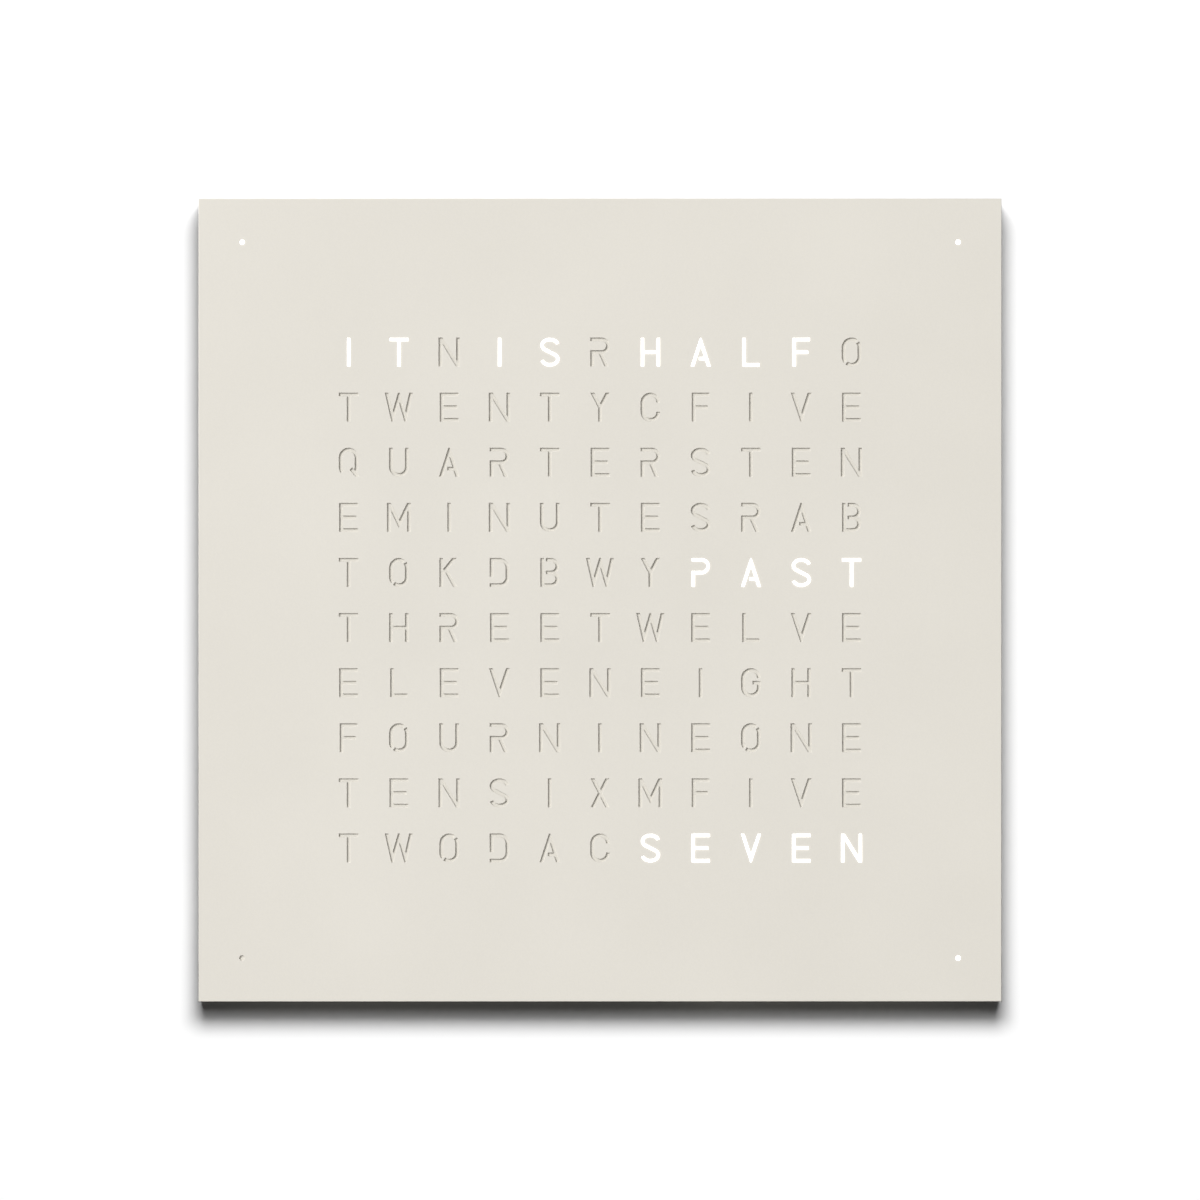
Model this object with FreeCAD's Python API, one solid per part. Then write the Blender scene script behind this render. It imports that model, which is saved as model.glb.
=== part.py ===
import FreeCAD, Part
import math
import os
from FreeCAD import Vector

# Word clock, in millimetres. A square metal cover with cut-through letters sits on magnets in a
# lacquered wooden frame, and the frame's back panel hangs on a bracket on the wall.
# X runs to the right and Z up as the clock hangs. The wall is the plane Y = 0 and the face looks
# along -Y. Pieces are drawn about the centre of the face, and each file is written with its
# origin midway between the bracket's two screw holes, on the wall.

# ---- cover and frame ----
face_side = 450.0
cover_thickness = 1.0
cover_chamfer = 0.3
cover_overhang = 0.5
frame_wall = 16.0
frame_edge_chamfer = 0.6
wall_gap = 1.5
rebate_width = 6.0
diffuser_thickness = 2.0
panel_thickness = 1.5
sheet_clearance = 0.3

# ---- letters ----
face_words = (
    "ITNISRHALFO",
    "TWENTYCFIVE",
    "QUARTERSTEN",
    "EMINUTESRAB",
    "TOKDBWYPAST",
    "THREETWELVE",
    "ELEVENEIGHT",
    "FOURNINEONE",
    "TENSIXMFIVE",
    "TWODACSEVEN",
)
margin_beside_letters = 70.0
margin_above_letters = 70.6
cap_height = 16.1
letter_stroke = 1.9
stencil_bridge = 1.2
stem_opening = 3.9
crossbar_below_middle = 3.6
corner_cut = 0.586
letter_width = 10.8
widths_that_differ = {"A": 12.4, "B": 10.4, "E": 10.4, "F": 9.8, "L": 9.6, "M": 13.2, "N": 11.8,
                      "P": 10.2, "V": 12.6, "W": 16.4, "X": 12.0, "Y": 12.4}
dot_inset = 24.4
dot_diameter = 3.0

# ---- magnets and locating tabs ----
magnet_length = 20.0
magnet_width = 6.0
magnet_thickness = 3.0
magnet_proud = 0.3
magnet_offset = 110.0
tab_length = 8.0
tab_thickness = 1.5
tab_depth = 4.5
tab_taper = 0.4
tab_clearance = 0.3
tab_offset = 185.0

# ---- light grid and boards ----
grid_depth = 8.0
grid_wall_front = 1.6
grid_wall_rear = 4.0
grid_rim = 2.0
board_thickness = 1.6
board_rim = 3.0
led_width = 3.5
led_height = 2.8
led_thickness = 0.8
standoff_width = 5.0
standoff_columns = (-4.5, -1.5, 1.5, 4.5)
standoff_rows = (-4, 0, 4)
cup_side = 15.0
cup_wall = 1.5
corner_board_side = 14.0

# ---- screws and bumpers ----
screw_width = 2.6
screw_head_width = 5.0
screw_head_height = 1.1
screw_engagement = 3.5
wood_screw_length = 9.0
panel_screw_offset = 130.0
fit_clearance = 0.15
bumper_side = 12.0
bumper_inset = 22.0

# ---- wall bracket ----
bracket_length = 260.0
bracket_thickness = 1.5
bracket_base_below = 12.0
bracket_base_above = 10.0
bracket_lip_height = 8.5
bracket_hole_diameter = 5.0
bracket_hole_spacing = 200.0
bracket_drop = 41.0
lift_travel = 10.0
hook_clearance = 0.3
window_side_clearance = 5.0
window_spare = 1.0

# ---- control board, in the margin under the letters ----
control_board_width = 180.0
control_board_gap = 5.0
control_board_to_frame = 8.0
control_board_behind_diffuser = 2.0
control_standoff_inset = 5.0
inlet_from_board_end = 25.0
inlet_to_panel = 0.4
inlet_width = 9.0
inlet_height = 11.0
inlet_length = 14.0
inlet_bore_diameter = 6.3
inlet_bore_depth = 9.5
inlet_pin_diameter = 2.1
inlet_pin_recess = 1.0
bay_width = 26.0
bay_overlap = 4.5
cord_notch_width = 8.0
cord_notch_depth = 9.0
processor_side = 14.0
processor_offset = -14.0
processor_thickness = 1.4
clock_chip_width = 10.3
clock_chip_height = 7.5
clock_chip_from_holder = 25.0
driver_width = 7.5
driver_height = 15.4
drivers_from_inlet = (41.0, 55.0)
chip_thickness = 2.4
coin_cell_diameter = 20.0
coin_cell_thickness = 3.2
holder_wall = 1.5
holder_base = 1.0
holder_from_board_end = 29.0
capacitor_width = 4.3
capacitor_height = 7.3
capacitor_thickness = 2.8
capacitors_from_inlet = (22.0, 30.5)
ribbon_width = 12.0
ribbon_thickness = 0.9
ribbon_straight = 3.0
ribbon_offset = 12.0
connector_height = 5.0
connector_rim = 1.2
connector_depth = 4.0

# ---- buttons, in the left side ----
button_length = 8.0
button_height = 4.0
button_spacing = 15.0
button_travel = 0.5
button_proud = 0.3
button_clearance = 0.25
button_edge_chamfer = 0.25
button_flange_rim = 1.2
button_flange_thickness = 1.0
button_rest_clearance = 0.1
button_row_below_centre = 170.0
button_skin = 4.0
button_pocket_length = 44.0
button_pocket_height = 12.0
button_shelf_length = 8.0
button_board_recess = 2.0
switch_side = 6.0
switch_height = 3.5
plunger_side = 2.4
plunger_in_switch = 0.4
lead_width = 3.0
lead_thickness = 0.8
lead_straight = 6.0
lead_overlap = 9.0

# ---- light sensor, behind the top edge ----
pipe_side = 3.0
pipe_gap = 0.6
sensor_board_length = 22.0
sensor_board_depth = 9.0
sensor_holder_height = 3.5
sensor_holder_wall = 2.0
sensor_side = 2.0
sensor_thickness = 0.9

# ---- planes and places that follow ----
# The frame is as deep as the diffuser, the control board with its inlet, and the back panel.
frame_depth = (diffuser_thickness + control_board_behind_diffuser + board_thickness + inlet_height
               + inlet_to_panel + panel_thickness)
frame_side = face_side - 2 * cover_overhang
opening_half = frame_side / 2 - frame_wall
frame_rear = -wall_gap
panel_front = frame_rear - panel_thickness
frame_front = frame_rear - frame_depth
diffuser_rear = frame_front + diffuser_thickness
grid_rear = diffuser_rear + grid_depth
board_rear = grid_rear + board_thickness
cover_rear = frame_front - magnet_proud
cover_front = cover_rear - cover_thickness
frame_middle = (frame_front + frame_rear) / 2
land_middle = opening_half + (rebate_width + frame_wall) / 2
rebate_middle = opening_half + rebate_width / 2
sheet_side = 2 * (opening_half + rebate_width - sheet_clearance)
column_count = len(face_words[0])
row_count = len(face_words)
column_pitch = (face_side - 2 * margin_beside_letters) / column_count
row_pitch = (face_side - 2 * margin_above_letters) / row_count
dot_offset = face_side / 2 - dot_inset
led_board_width = column_count * column_pitch + 2 * board_rim
led_board_height = row_count * row_pitch + 2 * board_rim
bracket_line = face_side / 2 - bracket_drop
ledge = bracket_base_above + bracket_thickness
window_half = bracket_length / 2 + window_side_clearance
control_top = -led_board_height / 2 - control_board_gap
control_bottom = -opening_half + control_board_to_frame
control_middle = (control_top + control_bottom) / 2
inlet_offset = control_board_width / 2 - inlet_from_board_end
holder_offset = holder_from_board_end - control_board_width / 2
control_front = diffuser_rear + control_board_behind_diffuser
control_rear = control_front + board_thickness
inlet_mouth = control_top - inlet_length
button_board_outer = -opening_half - button_board_recess - board_thickness
switch_face = button_board_outer - switch_height
sensor_board_top = opening_half - sensor_holder_height
skin_inner = -frame_side / 2 + button_skin
sensor_offset = (window_half + dot_offset - cup_side / 2) / 2


# ---- shared forms ----
def block(x, y, z):
    """Box between two values on each axis."""
    low = Vector(min(x), min(y), min(z))
    return Part.makeBox(abs(x[1] - x[0]), abs(y[1] - y[0]), abs(z[1] - z[0]), low)


def centred(middle, size):
    """Two values that lie half a size either side of a middle."""
    return (middle - size / 2, middle + size / 2)


def round_bar(start, diameter, reach):
    """Cylinder from a point along a vector."""
    return Part.makeCylinder(diameter / 2, reach.Length, start, reach)


def six_sided(start, width, reach):
    """Hexagonal bar from a point along an axis. It also stands for small round screws."""
    along = Vector(reach).normalize()
    sideways = Vector(along.y, along.z, along.x)
    upwards = along.cross(sideways)
    corner = width / math.sqrt(3)
    turns = [math.radians(60 * turn) for turn in range(7)]
    ring = [start + (sideways * math.cos(turn) + upwards * math.sin(turn)) * corner for turn in turns]
    return Part.Face(Part.makePolygon(ring)).extrude(reach)


def screw(seat, way_in, length):
    """Screw whose head sits on a face, with its shank along a direction."""
    head = six_sided(seat, screw_head_width, way_in * -screw_head_height)
    return head.fuse(six_sided(seat, screw_width, way_in * length))


def screw_hole(start, reach):
    """Clearance hole or pilot hole for a screw."""
    return six_sided(start, screw_width + fit_clearance, reach)


def corners(offset):
    """The four places at the same offset from the centre, left and right, up and down."""
    return [(side * offset, rise * offset) for side in (-1, 1) for rise in (-1, 1)]


def group(solids):
    """Separate solids that share one node."""
    return Part.makeCompound(solids)


def stroke_face(path, width):
    """Flat stroke of even width in the XY plane, mitred at its corners and square at its ends."""
    points = [Vector(x, y, 0) for x, y in path]
    runs = [(end - start).normalize() for start, end in zip(points, points[1:])]
    lefts = [Vector(-run.y, run.x, 0) for run in runs]
    mitres = [(before + after) / (1 + before.dot(after)) for before, after in zip(lefts, lefts[1:])]
    ways = [lefts[0]] + mitres + [lefts[-1]]
    left = [point + way * (width / 2) for point, way in zip(points, ways)]
    right = [point - way * (width / 2) for point, way in zip(points, ways)]
    return Part.Face(Part.makePolygon(left + right[::-1] + left[:1]))


def eased(path, cut):
    """The same path with each corner cut across at a distance from it."""
    points = [Vector(x, y, 0) for x, y in path]
    turned = [points[0]]
    for before, corner, after in zip(points, points[1:], points[2:]):
        turned.append(corner + (before - corner).normalize() * cut)
        turned.append(corner + (after - corner).normalize() * cut)
    return [(point.x, point.y) for point in turned + [points[-1]]]


# ---- letters ----
def letter_paths(letter):
    """Centre lines of a letter's strokes about the middle of its cell."""
    width = widths_that_differ.get(letter, letter_width)
    edge = width / 2
    right = edge - letter_stroke / 2
    left = -right
    cap = cap_height / 2
    top = cap - letter_stroke / 2
    foot = -top
    over = cap + letter_stroke
    tip = cap - letter_stroke
    short = left + letter_stroke / 2 + stencil_bridge
    wide_cut = right * corner_cut
    bowl_cut = top / 2 * corner_cut
    lip = cap / 3
    half_gap = stencil_bridge / 2 * math.cos(math.radians(45))
    bridge_x = right - wide_cut / 2 - half_gap
    bridge_z = top - wide_cut / 2 + half_gap
    bar_reach = right * (tip + crossbar_below_middle) / (2 * cap)
    stem = [(left, -cap), (left, cap)]
    far_stem = [(right, -cap), (right, cap)]
    upper_bowl = eased([(short, top), (right, top), (right, 0), (short, 0)], bowl_cut)
    lower_bowl = eased([(0, 0), (right, 0), (right, foot), (left, foot)], bowl_cut)
    open_bowl = eased([(-edge, top), (right, top), (right, 0), (left, 0)], bowl_cut) + [(left, -cap)]
    open_stem = [(left, letter_stroke + stem_opening - cap)]
    middle_bar = [(left, 0), (edge - letter_stroke / 2, 0)]
    curl = [(right, lip), (right, top), (left, top), (left, foot), (right, foot)]
    half_ring = [(bridge_x, bridge_z), (right - wide_cut, top), (left + wide_cut, top),
                 (left, top - wide_cut), (left, wide_cut - top),
                 (bridge_x - 2 * (right - wide_cut / 2), bridge_z - 2 * (top - wide_cut / 2))]
    ring = [half_ring, [(-x, -z) for x, z in half_ring]]
    open_ring = half_ring[:0:-1] + [(right, top - wide_cut), (right, wide_cut - top),
                                    (right - wide_cut / 2, foot + wide_cut / 2)]
    paths = {
        "A": [[(left, -over), (0, tip), (right, -over)],
              [(letter_stroke / 2 + stencil_bridge - bar_reach, -crossbar_below_middle),
               (bar_reach, -crossbar_below_middle)]],
        "B": [stem, upper_bowl, lower_bowl],
        "C": [eased(curl + [(right, -lip)], wide_cut)],
        "D": [open_stem + eased([(left, top), (right, top), (right, foot), (-edge, foot)], wide_cut)],
        "E": [[(edge, top), (left, top), (left, foot), (edge, foot)], middle_bar],
        "F": [[(edge, top), (left, top), (left, -cap)], middle_bar],
        "G": [eased(curl + [(right, 0)], wide_cut), [(edge, 0), (letter_stroke / 2, 0)]],
        "H": [stem, far_stem, [(left, 0), (right, 0)]],
        "I": [[(0, -cap), (0, cap)]],
        "K": [stem, [(left, -letter_stroke / 2), (right, over)],
              [(left / 2, letter_stroke), (right, -over)]],
        "L": [[(left, cap), (left, foot), (edge, foot)]],
        "M": [stem, far_stem, [(left, cap), (0, -2 * letter_stroke), (right, cap)]],
        "N": [stem, far_stem, [(left, cap), (right, -cap)]],
        "O": ring,
        "P": [open_bowl],
        "Q": [open_ring, [(right / 3, foot / 2), (edge, -over)]],
        "R": [open_bowl, [(0, 0), (right, -over)]],
        "S": [eased([(right, lip), (right, top), (left, top), (left, 0), (right, 0), (right, foot),
                     (left, foot), (left, -lip)], bowl_cut)],
        "T": [[(-edge, top), (edge, top)], [(0, top), (0, -cap)]],
        "U": [eased([(left, cap), (left, foot), (right, foot), (right, cap)], wide_cut)],
        "V": [[(left, over), (0, -tip), (right, over)]],
        "W": [[(left, over), (left / 2, -tip), (0, tip), (right / 2, -tip), (right, over)]],
        "X": [[(left, -over), (right, over)], [(left, over), (right, -over)]],
        "Y": [[(left, over), (0, 0), (right, over)], [(0, 0), (0, -cap)]],
    }
    return paths[letter], width


def letter_outlines(letter):
    """Closed outlines of a letter about the middle of its cell, in the XZ plane."""
    paths, width = letter_paths(letter)
    limits = Part.makePlane(width, cap_height, Vector(-width / 2, -cap_height / 2, 0))
    pieces = []
    for path in paths:
        piece = stroke_face(path, letter_stroke).common(limits).Faces[0]
        for touching in [other for other in pieces if other.distToShape(piece)[0] < stencil_bridge / 10]:
            pieces.remove(touching)
            piece = piece.fuse(touching).removeSplitter().Faces[0]
        pieces.append(piece)
    return [piece.OuterWire.rotated(Vector(0, 0, 0), Vector(1, 0, 0), 90) for piece in pieces]


def cell_centres():
    """Centre of each letter's cell, with its letter, row by row from the top left."""
    for row, words in enumerate(face_words):
        for column, letter in enumerate(words):
            x = (column - (column_count - 1) / 2) * column_pitch
            z = ((row_count - 1) / 2 - row) * row_pitch
            yield x, z, letter


def front_cover():
    """Powder-coated steel plate with the letters and four minute dots cut through it."""
    outlines = {letter: letter_outlines(letter) for letter in sorted(set("".join(face_words)))}
    holes = []
    for x, z, letter in cell_centres():
        for outline in outlines[letter]:
            holes.append(outline.translated(Vector(x, cover_front, z)))
    for x, z in corners(dot_offset):
        circle = Part.Circle(Vector(x, cover_front, z), Vector(0, 1, 0), dot_diameter / 2)
        holes.append(Part.Wire(circle.toShape()))
    half = face_side / 2
    ring = ((-half, -half), (half, -half), (half, half), (-half, half), (-half, -half))
    rim = Part.makePolygon([Vector(x, cover_front, z) for x, z in ring])
    face = Part.makeFace([rim] + holes, "Part::FaceMakerBullseye")
    plate = face.Faces[0].extrude(Vector(0, cover_thickness, 0))
    front_edges = [edge for edge in plate.Edges
                   if edge.Length > 0.9 * face_side and edge.BoundBox.YMax < cover_front + 0.01]
    return plate.makeChamfer(cover_chamfer, front_edges).Solids[0]


def cover_tabs():
    """Tabs welded to the back of the cover, tapered so that they find their slots."""
    solids = []
    for side in (-1, 1):
        for rise in (-1, 1):
            tab = block(centred(side * tab_offset, tab_length), (cover_rear, cover_rear + tab_depth),
                        centred(rise * land_middle, tab_thickness))
            end = [edge for edge in tab.Edges if edge.BoundBox.YMin > cover_rear + 0.9 * tab_depth]
            solids.append(tab.makeChamfer(tab_taper, end))
    return group(solids)


# ---- frame ----
def magnet_blocks(length, width, thickness):
    """Two blocks on each side of the frame, in the land outside the rebate."""
    depth = (cover_rear + magnet_thickness - thickness, cover_rear + magnet_thickness)
    blocks = []
    for side in (-1, 1):
        for rise in (-1, 1):
            along = centred(side * magnet_offset, length)
            across = centred(rise * land_middle, width)
            blocks += [block(along, depth, across), block(across, depth, along)]
    return blocks


def panel_screw_places():
    """Two screws along each side of the back panel, in the rear rebate."""
    along = [(side * panel_screw_offset, rise * rebate_middle) for side in (-1, 1) for rise in (-1, 1)]
    return along + [(z, x) for x, z in along]


def housing_frame():
    """Lacquered fibreboard ring with rebates for the diffuser and the back panel."""
    outer = block(centred(0, frame_side), (frame_front, frame_rear), centred(0, frame_side))
    edges = [edge for edge in outer.Edges if edge.BoundBox.YLength > 0.9 * frame_depth]
    outer = outer.makeChamfer(frame_edge_chamfer, edges)
    rebated = centred(0, 2 * (opening_half + rebate_width))
    inside = centred(0, 2 * opening_half)
    cuts = [block(inside, (frame_front, frame_rear), inside),
            block(rebated, (frame_front, diffuser_rear), rebated),
            block(rebated, (panel_front, frame_rear), rebated)]
    cuts += magnet_blocks(magnet_length + fit_clearance, magnet_width + fit_clearance, magnet_thickness)
    slot_depth = (frame_front, cover_rear + tab_depth + tab_clearance)
    for side in (-1, 1):
        for rise in (-1, 1):
            cuts.append(block(centred(side * tab_offset, tab_length + 2 * tab_clearance), slot_depth,
                              centred(rise * land_middle, tab_thickness + 2 * tab_clearance)))
    for x, z in panel_screw_places():
        cuts.append(screw_hole(Vector(x, panel_front, z), Vector(0, -wood_screw_length, 0)))
    cuts.append(block(centred(inlet_offset, cord_notch_width), (frame_rear - cord_notch_depth, frame_rear),
                      (-frame_side / 2, -opening_half)))
    pipe_hole = pipe_side + fit_clearance
    cuts.append(block(centred(sensor_offset, pipe_hole), centred(frame_middle, pipe_hole),
                      (opening_half, frame_side / 2)))
    return outer.cut(cuts + button_cuts())


def button_cuts():
    """Pocket for the switches, shelves for their board and a slot for each button."""
    middle = -button_row_below_centre
    height = centred(frame_middle, button_pocket_height)
    shelf = button_board_outer
    full_length = button_pocket_length + 2 * button_shelf_length
    cuts = [block((shelf, -opening_half), height, centred(middle, full_length)),
            block((skin_inner, shelf), height, centred(middle, button_pocket_length))]
    for z in button_heights():
        cuts.append(block((-frame_side / 2, skin_inner),
                          centred(frame_middle, button_height + 2 * button_clearance),
                          centred(z, button_length + 2 * button_clearance)))
    for z in button_screw_heights():
        cuts.append(screw_hole(Vector(shelf, frame_middle, z), Vector(-screw_engagement, 0, 0)))
    return cuts


def cover_magnets():
    """Block magnets glued into the frame, a little proud so that they carry the cover."""
    return group(magnet_blocks(magnet_length, magnet_width, magnet_thickness))


def diffuser_sheet():
    """Opal acrylic sheet in the front rebate."""
    return block(centred(0, sheet_side), (frame_front, diffuser_rear), centred(0, sheet_side))


# ---- light grid and its board ----
def standoff_places():
    """Crossings of the light grid behind which a stand-off carries the large board."""
    return [(x * column_pitch, z * row_pitch) for x in standoff_columns for z in standoff_rows]


def light_grid():
    """Moulded grid with a cell that widens towards the diffuser behind each letter."""
    body = block(centred(0, column_count * column_pitch + 2 * grid_rim), (diffuser_rear, grid_rear),
                 centred(0, row_count * row_pitch + 2 * grid_rim))
    wide, high = column_pitch - grid_wall_front, row_pitch - grid_wall_front
    narrow, low = column_pitch - grid_wall_rear, row_pitch - grid_wall_rear
    cell = Part.makeWedge(-wide / 2, diffuser_rear, -high / 2, -low / 2, -narrow / 2,
                          wide / 2, grid_rear, high / 2, low / 2, narrow / 2)
    return body.cut([cell.translated(Vector(x, 0, z)) for x, z, letter in cell_centres()])


def led_board():
    """Circuit board behind the grid."""
    return block(centred(0, led_board_width), (grid_rear, board_rear), centred(0, led_board_height))


def led_at(x, z):
    """One surface-mounted light on the front of a board."""
    return block(centred(x, led_width), (grid_rear - led_thickness, grid_rear), centred(z, led_height))


def led_chips():
    """One light in each cell of the grid."""
    return group([led_at(x, z) for x, z, letter in cell_centres()])


def board_standoff(x, z):
    """One stand-off between the back panel and a board of the grid's depth."""
    return six_sided(Vector(x, board_rear, z), standoff_width, Vector(0, panel_front - board_rear, 0))


def board_standoffs():
    """Stand-offs clinched in the back panel that press the large board against the grid."""
    return group([board_standoff(x, z) for x, z in standoff_places()])


# ---- corner dots ----
def corner_light_cups():
    """Small boxes open at the front that keep each corner dot's light together."""
    solids = []
    for x, z in corners(dot_offset):
        cup = block(centred(x, cup_side), (diffuser_rear, grid_rear), centred(z, cup_side))
        hollow_side = cup_side - 2 * cup_wall
        hollow = block(centred(x, hollow_side), (diffuser_rear, grid_rear), centred(z, hollow_side))
        solids.append(cup.cut(hollow))
    return group(solids)


def corner_led_boards():
    """Square board behind each cup."""
    return group([block(centred(x, corner_board_side), (grid_rear, board_rear),
                        centred(z, corner_board_side)) for x, z in corners(dot_offset)])


def corner_led_chips():
    """The four lights of the corner dots."""
    return group([led_at(x, z) for x, z in corners(dot_offset)])


def corner_standoffs():
    """Stand-offs between the back panel and the corner boards."""
    return group([board_standoff(x, z) for x, z in corners(dot_offset)])


def laid_flat(face, thickness, front):
    """Flat cable drawn in the XY plane, turned to lie along the back of the clock."""
    cable = face.extrude(Vector(0, 0, thickness))
    cable.rotate(Vector(0, 0, 0), Vector(1, 0, 0), 90)
    return cable.translated(Vector(0, front + thickness, 0))


def corner_leads():
    """Flat two-core leads on the rear of the boards, one from the large board to each corner."""
    board_x = led_board_width / 2 - board_rim
    board_z = led_board_height / 2 - board_rim
    corner = dot_offset - corner_board_side / 2 + lead_width / 2
    solids = []
    for side in (-1, 1):
        for rise in (-1, 1):
            path = [(side * board_x, rise * board_z), (side * corner, rise * corner)]
            solids.append(laid_flat(stroke_face(path, lead_width), lead_thickness, board_rear))
    return group(solids)


# ---- back ----
def back_panel():
    """Steel panel in the rear rebate, with the bracket's window and the plug's bay."""
    through = (panel_front, frame_rear)
    panel = block(centred(0, sheet_side), through, centred(0, sheet_side))
    window_bottom = bracket_line - bracket_base_below - lift_travel - window_spare
    cuts = [block((-window_half, window_half), through, (window_bottom, bracket_line + ledge)),
            block(centred(inlet_offset, bay_width), through, (-sheet_side / 2, inlet_mouth + bay_overlap))]
    for x, z in panel_screw_places():
        cuts.append(screw_hole(Vector(x, panel_front, z), Vector(0, panel_thickness, 0)))
    return panel.cut(cuts)


def back_panel_screws():
    """Screws that hold the back panel in the frame."""
    length = panel_thickness + wood_screw_length - fit_clearance
    return group([screw(Vector(x, frame_rear, z), Vector(0, -1, 0), length)
                  for x, z in panel_screw_places()])


def wall_bumpers():
    """Square rubber pads that keep the clock parallel to the wall."""
    return group([block(centred(x, bumper_side), (frame_rear, 0), centred(z, bumper_side))
                  for x, z in corners(opening_half - bumper_inset)])


def wall_bracket():
    """Folded steel rail. Its lip stands inside the clock and its ledge carries the back panel."""
    length = centred(0, bracket_length)
    lip_rear = panel_front - hook_clearance
    lip_front = lip_rear - bracket_thickness
    top = bracket_line + ledge
    base = block(length, (-bracket_thickness, 0), (bracket_line - bracket_base_below, top))
    web = block(length, (lip_front, 0), (bracket_line + bracket_base_above, top))
    lip = block(length, (lip_front, lip_rear), (top - bracket_thickness, top + bracket_lip_height))
    rail = base.fuse([web, lip]).removeSplitter()
    holes = [round_bar(Vector(x, -bracket_thickness, bracket_line), bracket_hole_diameter,
                       Vector(0, bracket_thickness, 0)) for x in centred(0, bracket_hole_spacing)]
    return rail.cut(holes)


# ---- control board ----
def control_standoff_places():
    """One stand-off near each corner of the control board."""
    x = control_board_width / 2 - control_standoff_inset
    heights = (control_bottom + control_standoff_inset, control_top - control_standoff_inset)
    return [(side * x, z) for side in (-1, 1) for z in heights]


def control_board():
    """Board under the light grid, cut away where the plug goes in."""
    through = (control_front, control_rear)
    board = block(centred(0, control_board_width), through, (control_bottom, control_top))
    bay = block(centred(inlet_offset, bay_width), through, (control_bottom, inlet_mouth))
    holes = [screw_hole(Vector(x, control_front, z), Vector(0, board_thickness, 0))
             for x, z in control_standoff_places()]
    return board.cut([bay] + holes)


def control_standoffs():
    """Long stand-offs, clinched in the back panel, that carry the control board."""
    solids = []
    for x, z in control_standoff_places():
        start = Vector(x, control_rear, z)
        bar = six_sided(start, standoff_width, Vector(0, panel_front - control_rear, 0))
        solids.append(bar.cut(screw_hole(start, Vector(0, screw_engagement, 0))))
    return group(solids)


def control_board_screws():
    """Screws that hold the control board to its stand-offs."""
    length = board_thickness + screw_engagement - fit_clearance
    return group([screw(Vector(x, control_front, z), Vector(0, 1, 0), length)
                  for x, z in control_standoff_places()])


def chip_on_control_board(x, z, width, height, thickness):
    """Flat package on the rear of the control board."""
    return block(centred(x, width), (control_rear, control_rear + thickness), centred(z, height))


def microcontroller():
    """Square package that keeps the words and reads the buttons."""
    return chip_on_control_board(processor_offset, control_middle, processor_side, processor_side,
                                 processor_thickness)


def clock_chip():
    """Package with its own crystal that keeps the time."""
    return chip_on_control_board(holder_offset + clock_chip_from_holder, control_middle,
                                 clock_chip_width, clock_chip_height, chip_thickness)


def led_driver_chips():
    """Two packages that drive the rows and columns of lights."""
    z = control_bottom + control_standoff_inset + driver_height / 2
    return group([chip_on_control_board(inlet_offset - distance, z, driver_width, driver_height,
                                        chip_thickness) for distance in drivers_from_inlet])


def coin_cell_holder():
    """Base with two rails and an end stop, open to one side so that the cell slides out."""
    inner = coin_cell_diameter + 2 * fit_clearance
    outer = inner + 2 * holder_wall
    left = holder_offset - inner / 2
    right = holder_offset + outer / 2
    tray = block((left, right), (control_rear, control_rear + holder_base + coin_cell_thickness),
                 centred(control_middle, outer))
    return tray.cut(block((left, holder_offset + inner / 2),
                          (control_rear + holder_base, control_rear + holder_base + coin_cell_thickness),
                          centred(control_middle, inner)))


def coin_cell():
    """Lithium cell that keeps the time when the plug is out."""
    seat = Vector(holder_offset, control_rear + holder_base, control_middle)
    return round_bar(seat, coin_cell_diameter, Vector(0, coin_cell_thickness, 0))


def smoothing_capacitors():
    """Two block capacitors beside the power inlet."""
    return group([chip_on_control_board(inlet_offset - distance, control_middle, capacitor_width,
                                        capacitor_height, capacitor_thickness)
                  for distance in capacitors_from_inlet])


def power_inlet():
    """Barrel jack that takes the plug from below, with its centre pin."""
    mouth = Vector(inlet_offset, control_rear + inlet_height / 2, inlet_mouth)
    body = block(centred(mouth.x, inlet_width), (control_rear, control_rear + inlet_height),
                 (mouth.z, mouth.z + inlet_length))
    socket = round_bar(mouth, inlet_bore_diameter, Vector(0, 0, inlet_bore_depth))
    pin_start = mouth + Vector(0, 0, inlet_pin_recess)
    pin = round_bar(pin_start, inlet_pin_diameter, Vector(0, 0, inlet_bore_depth - inlet_pin_recess))
    return body.cut(socket.cut(pin))


def ribbon_connectors():
    """Two sockets, on the rear of the large board and on the rear of the control board."""
    across = centred(ribbon_offset, ribbon_width + 2 * connector_rim)
    upper = -led_board_height / 2 + board_rim
    lower = control_top - connector_rim
    return group([block(across, centred(depth + connector_depth / 2, connector_depth), rise)
                  for depth, rise in ((board_rear, (upper, upper + connector_height)),
                                      (control_rear, (lower - connector_height, lower)))])


def ribbon_cable():
    """Flat cable, creased where it steps forward from the large board to the control board."""
    upper_y = board_rear + connector_depth / 2
    lower_y = control_rear + connector_depth / 2
    start = -led_board_height / 2 + board_rim
    end = control_top - connector_rim
    path = [(upper_y, start), (upper_y, start - ribbon_straight), (lower_y, end + ribbon_straight),
            (lower_y, end)]
    face = stroke_face(path, ribbon_thickness)
    face.rotate(Vector(0, 0, 0), Vector(1, 1, 1), 120)
    cable = face.extrude(Vector(ribbon_width, 0, 0))
    return cable.translated(Vector(ribbon_offset - ribbon_width / 2, 0, 0))


# ---- buttons ----
def button_heights():
    """Heights of the three buttons, lowest first."""
    return [-button_row_below_centre + step * button_spacing for step in (-1, 0, 1)]


def button_screw_heights():
    """The two screws at the ends of the button board."""
    return centred(-button_row_below_centre, button_pocket_length + button_shelf_length)


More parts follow.
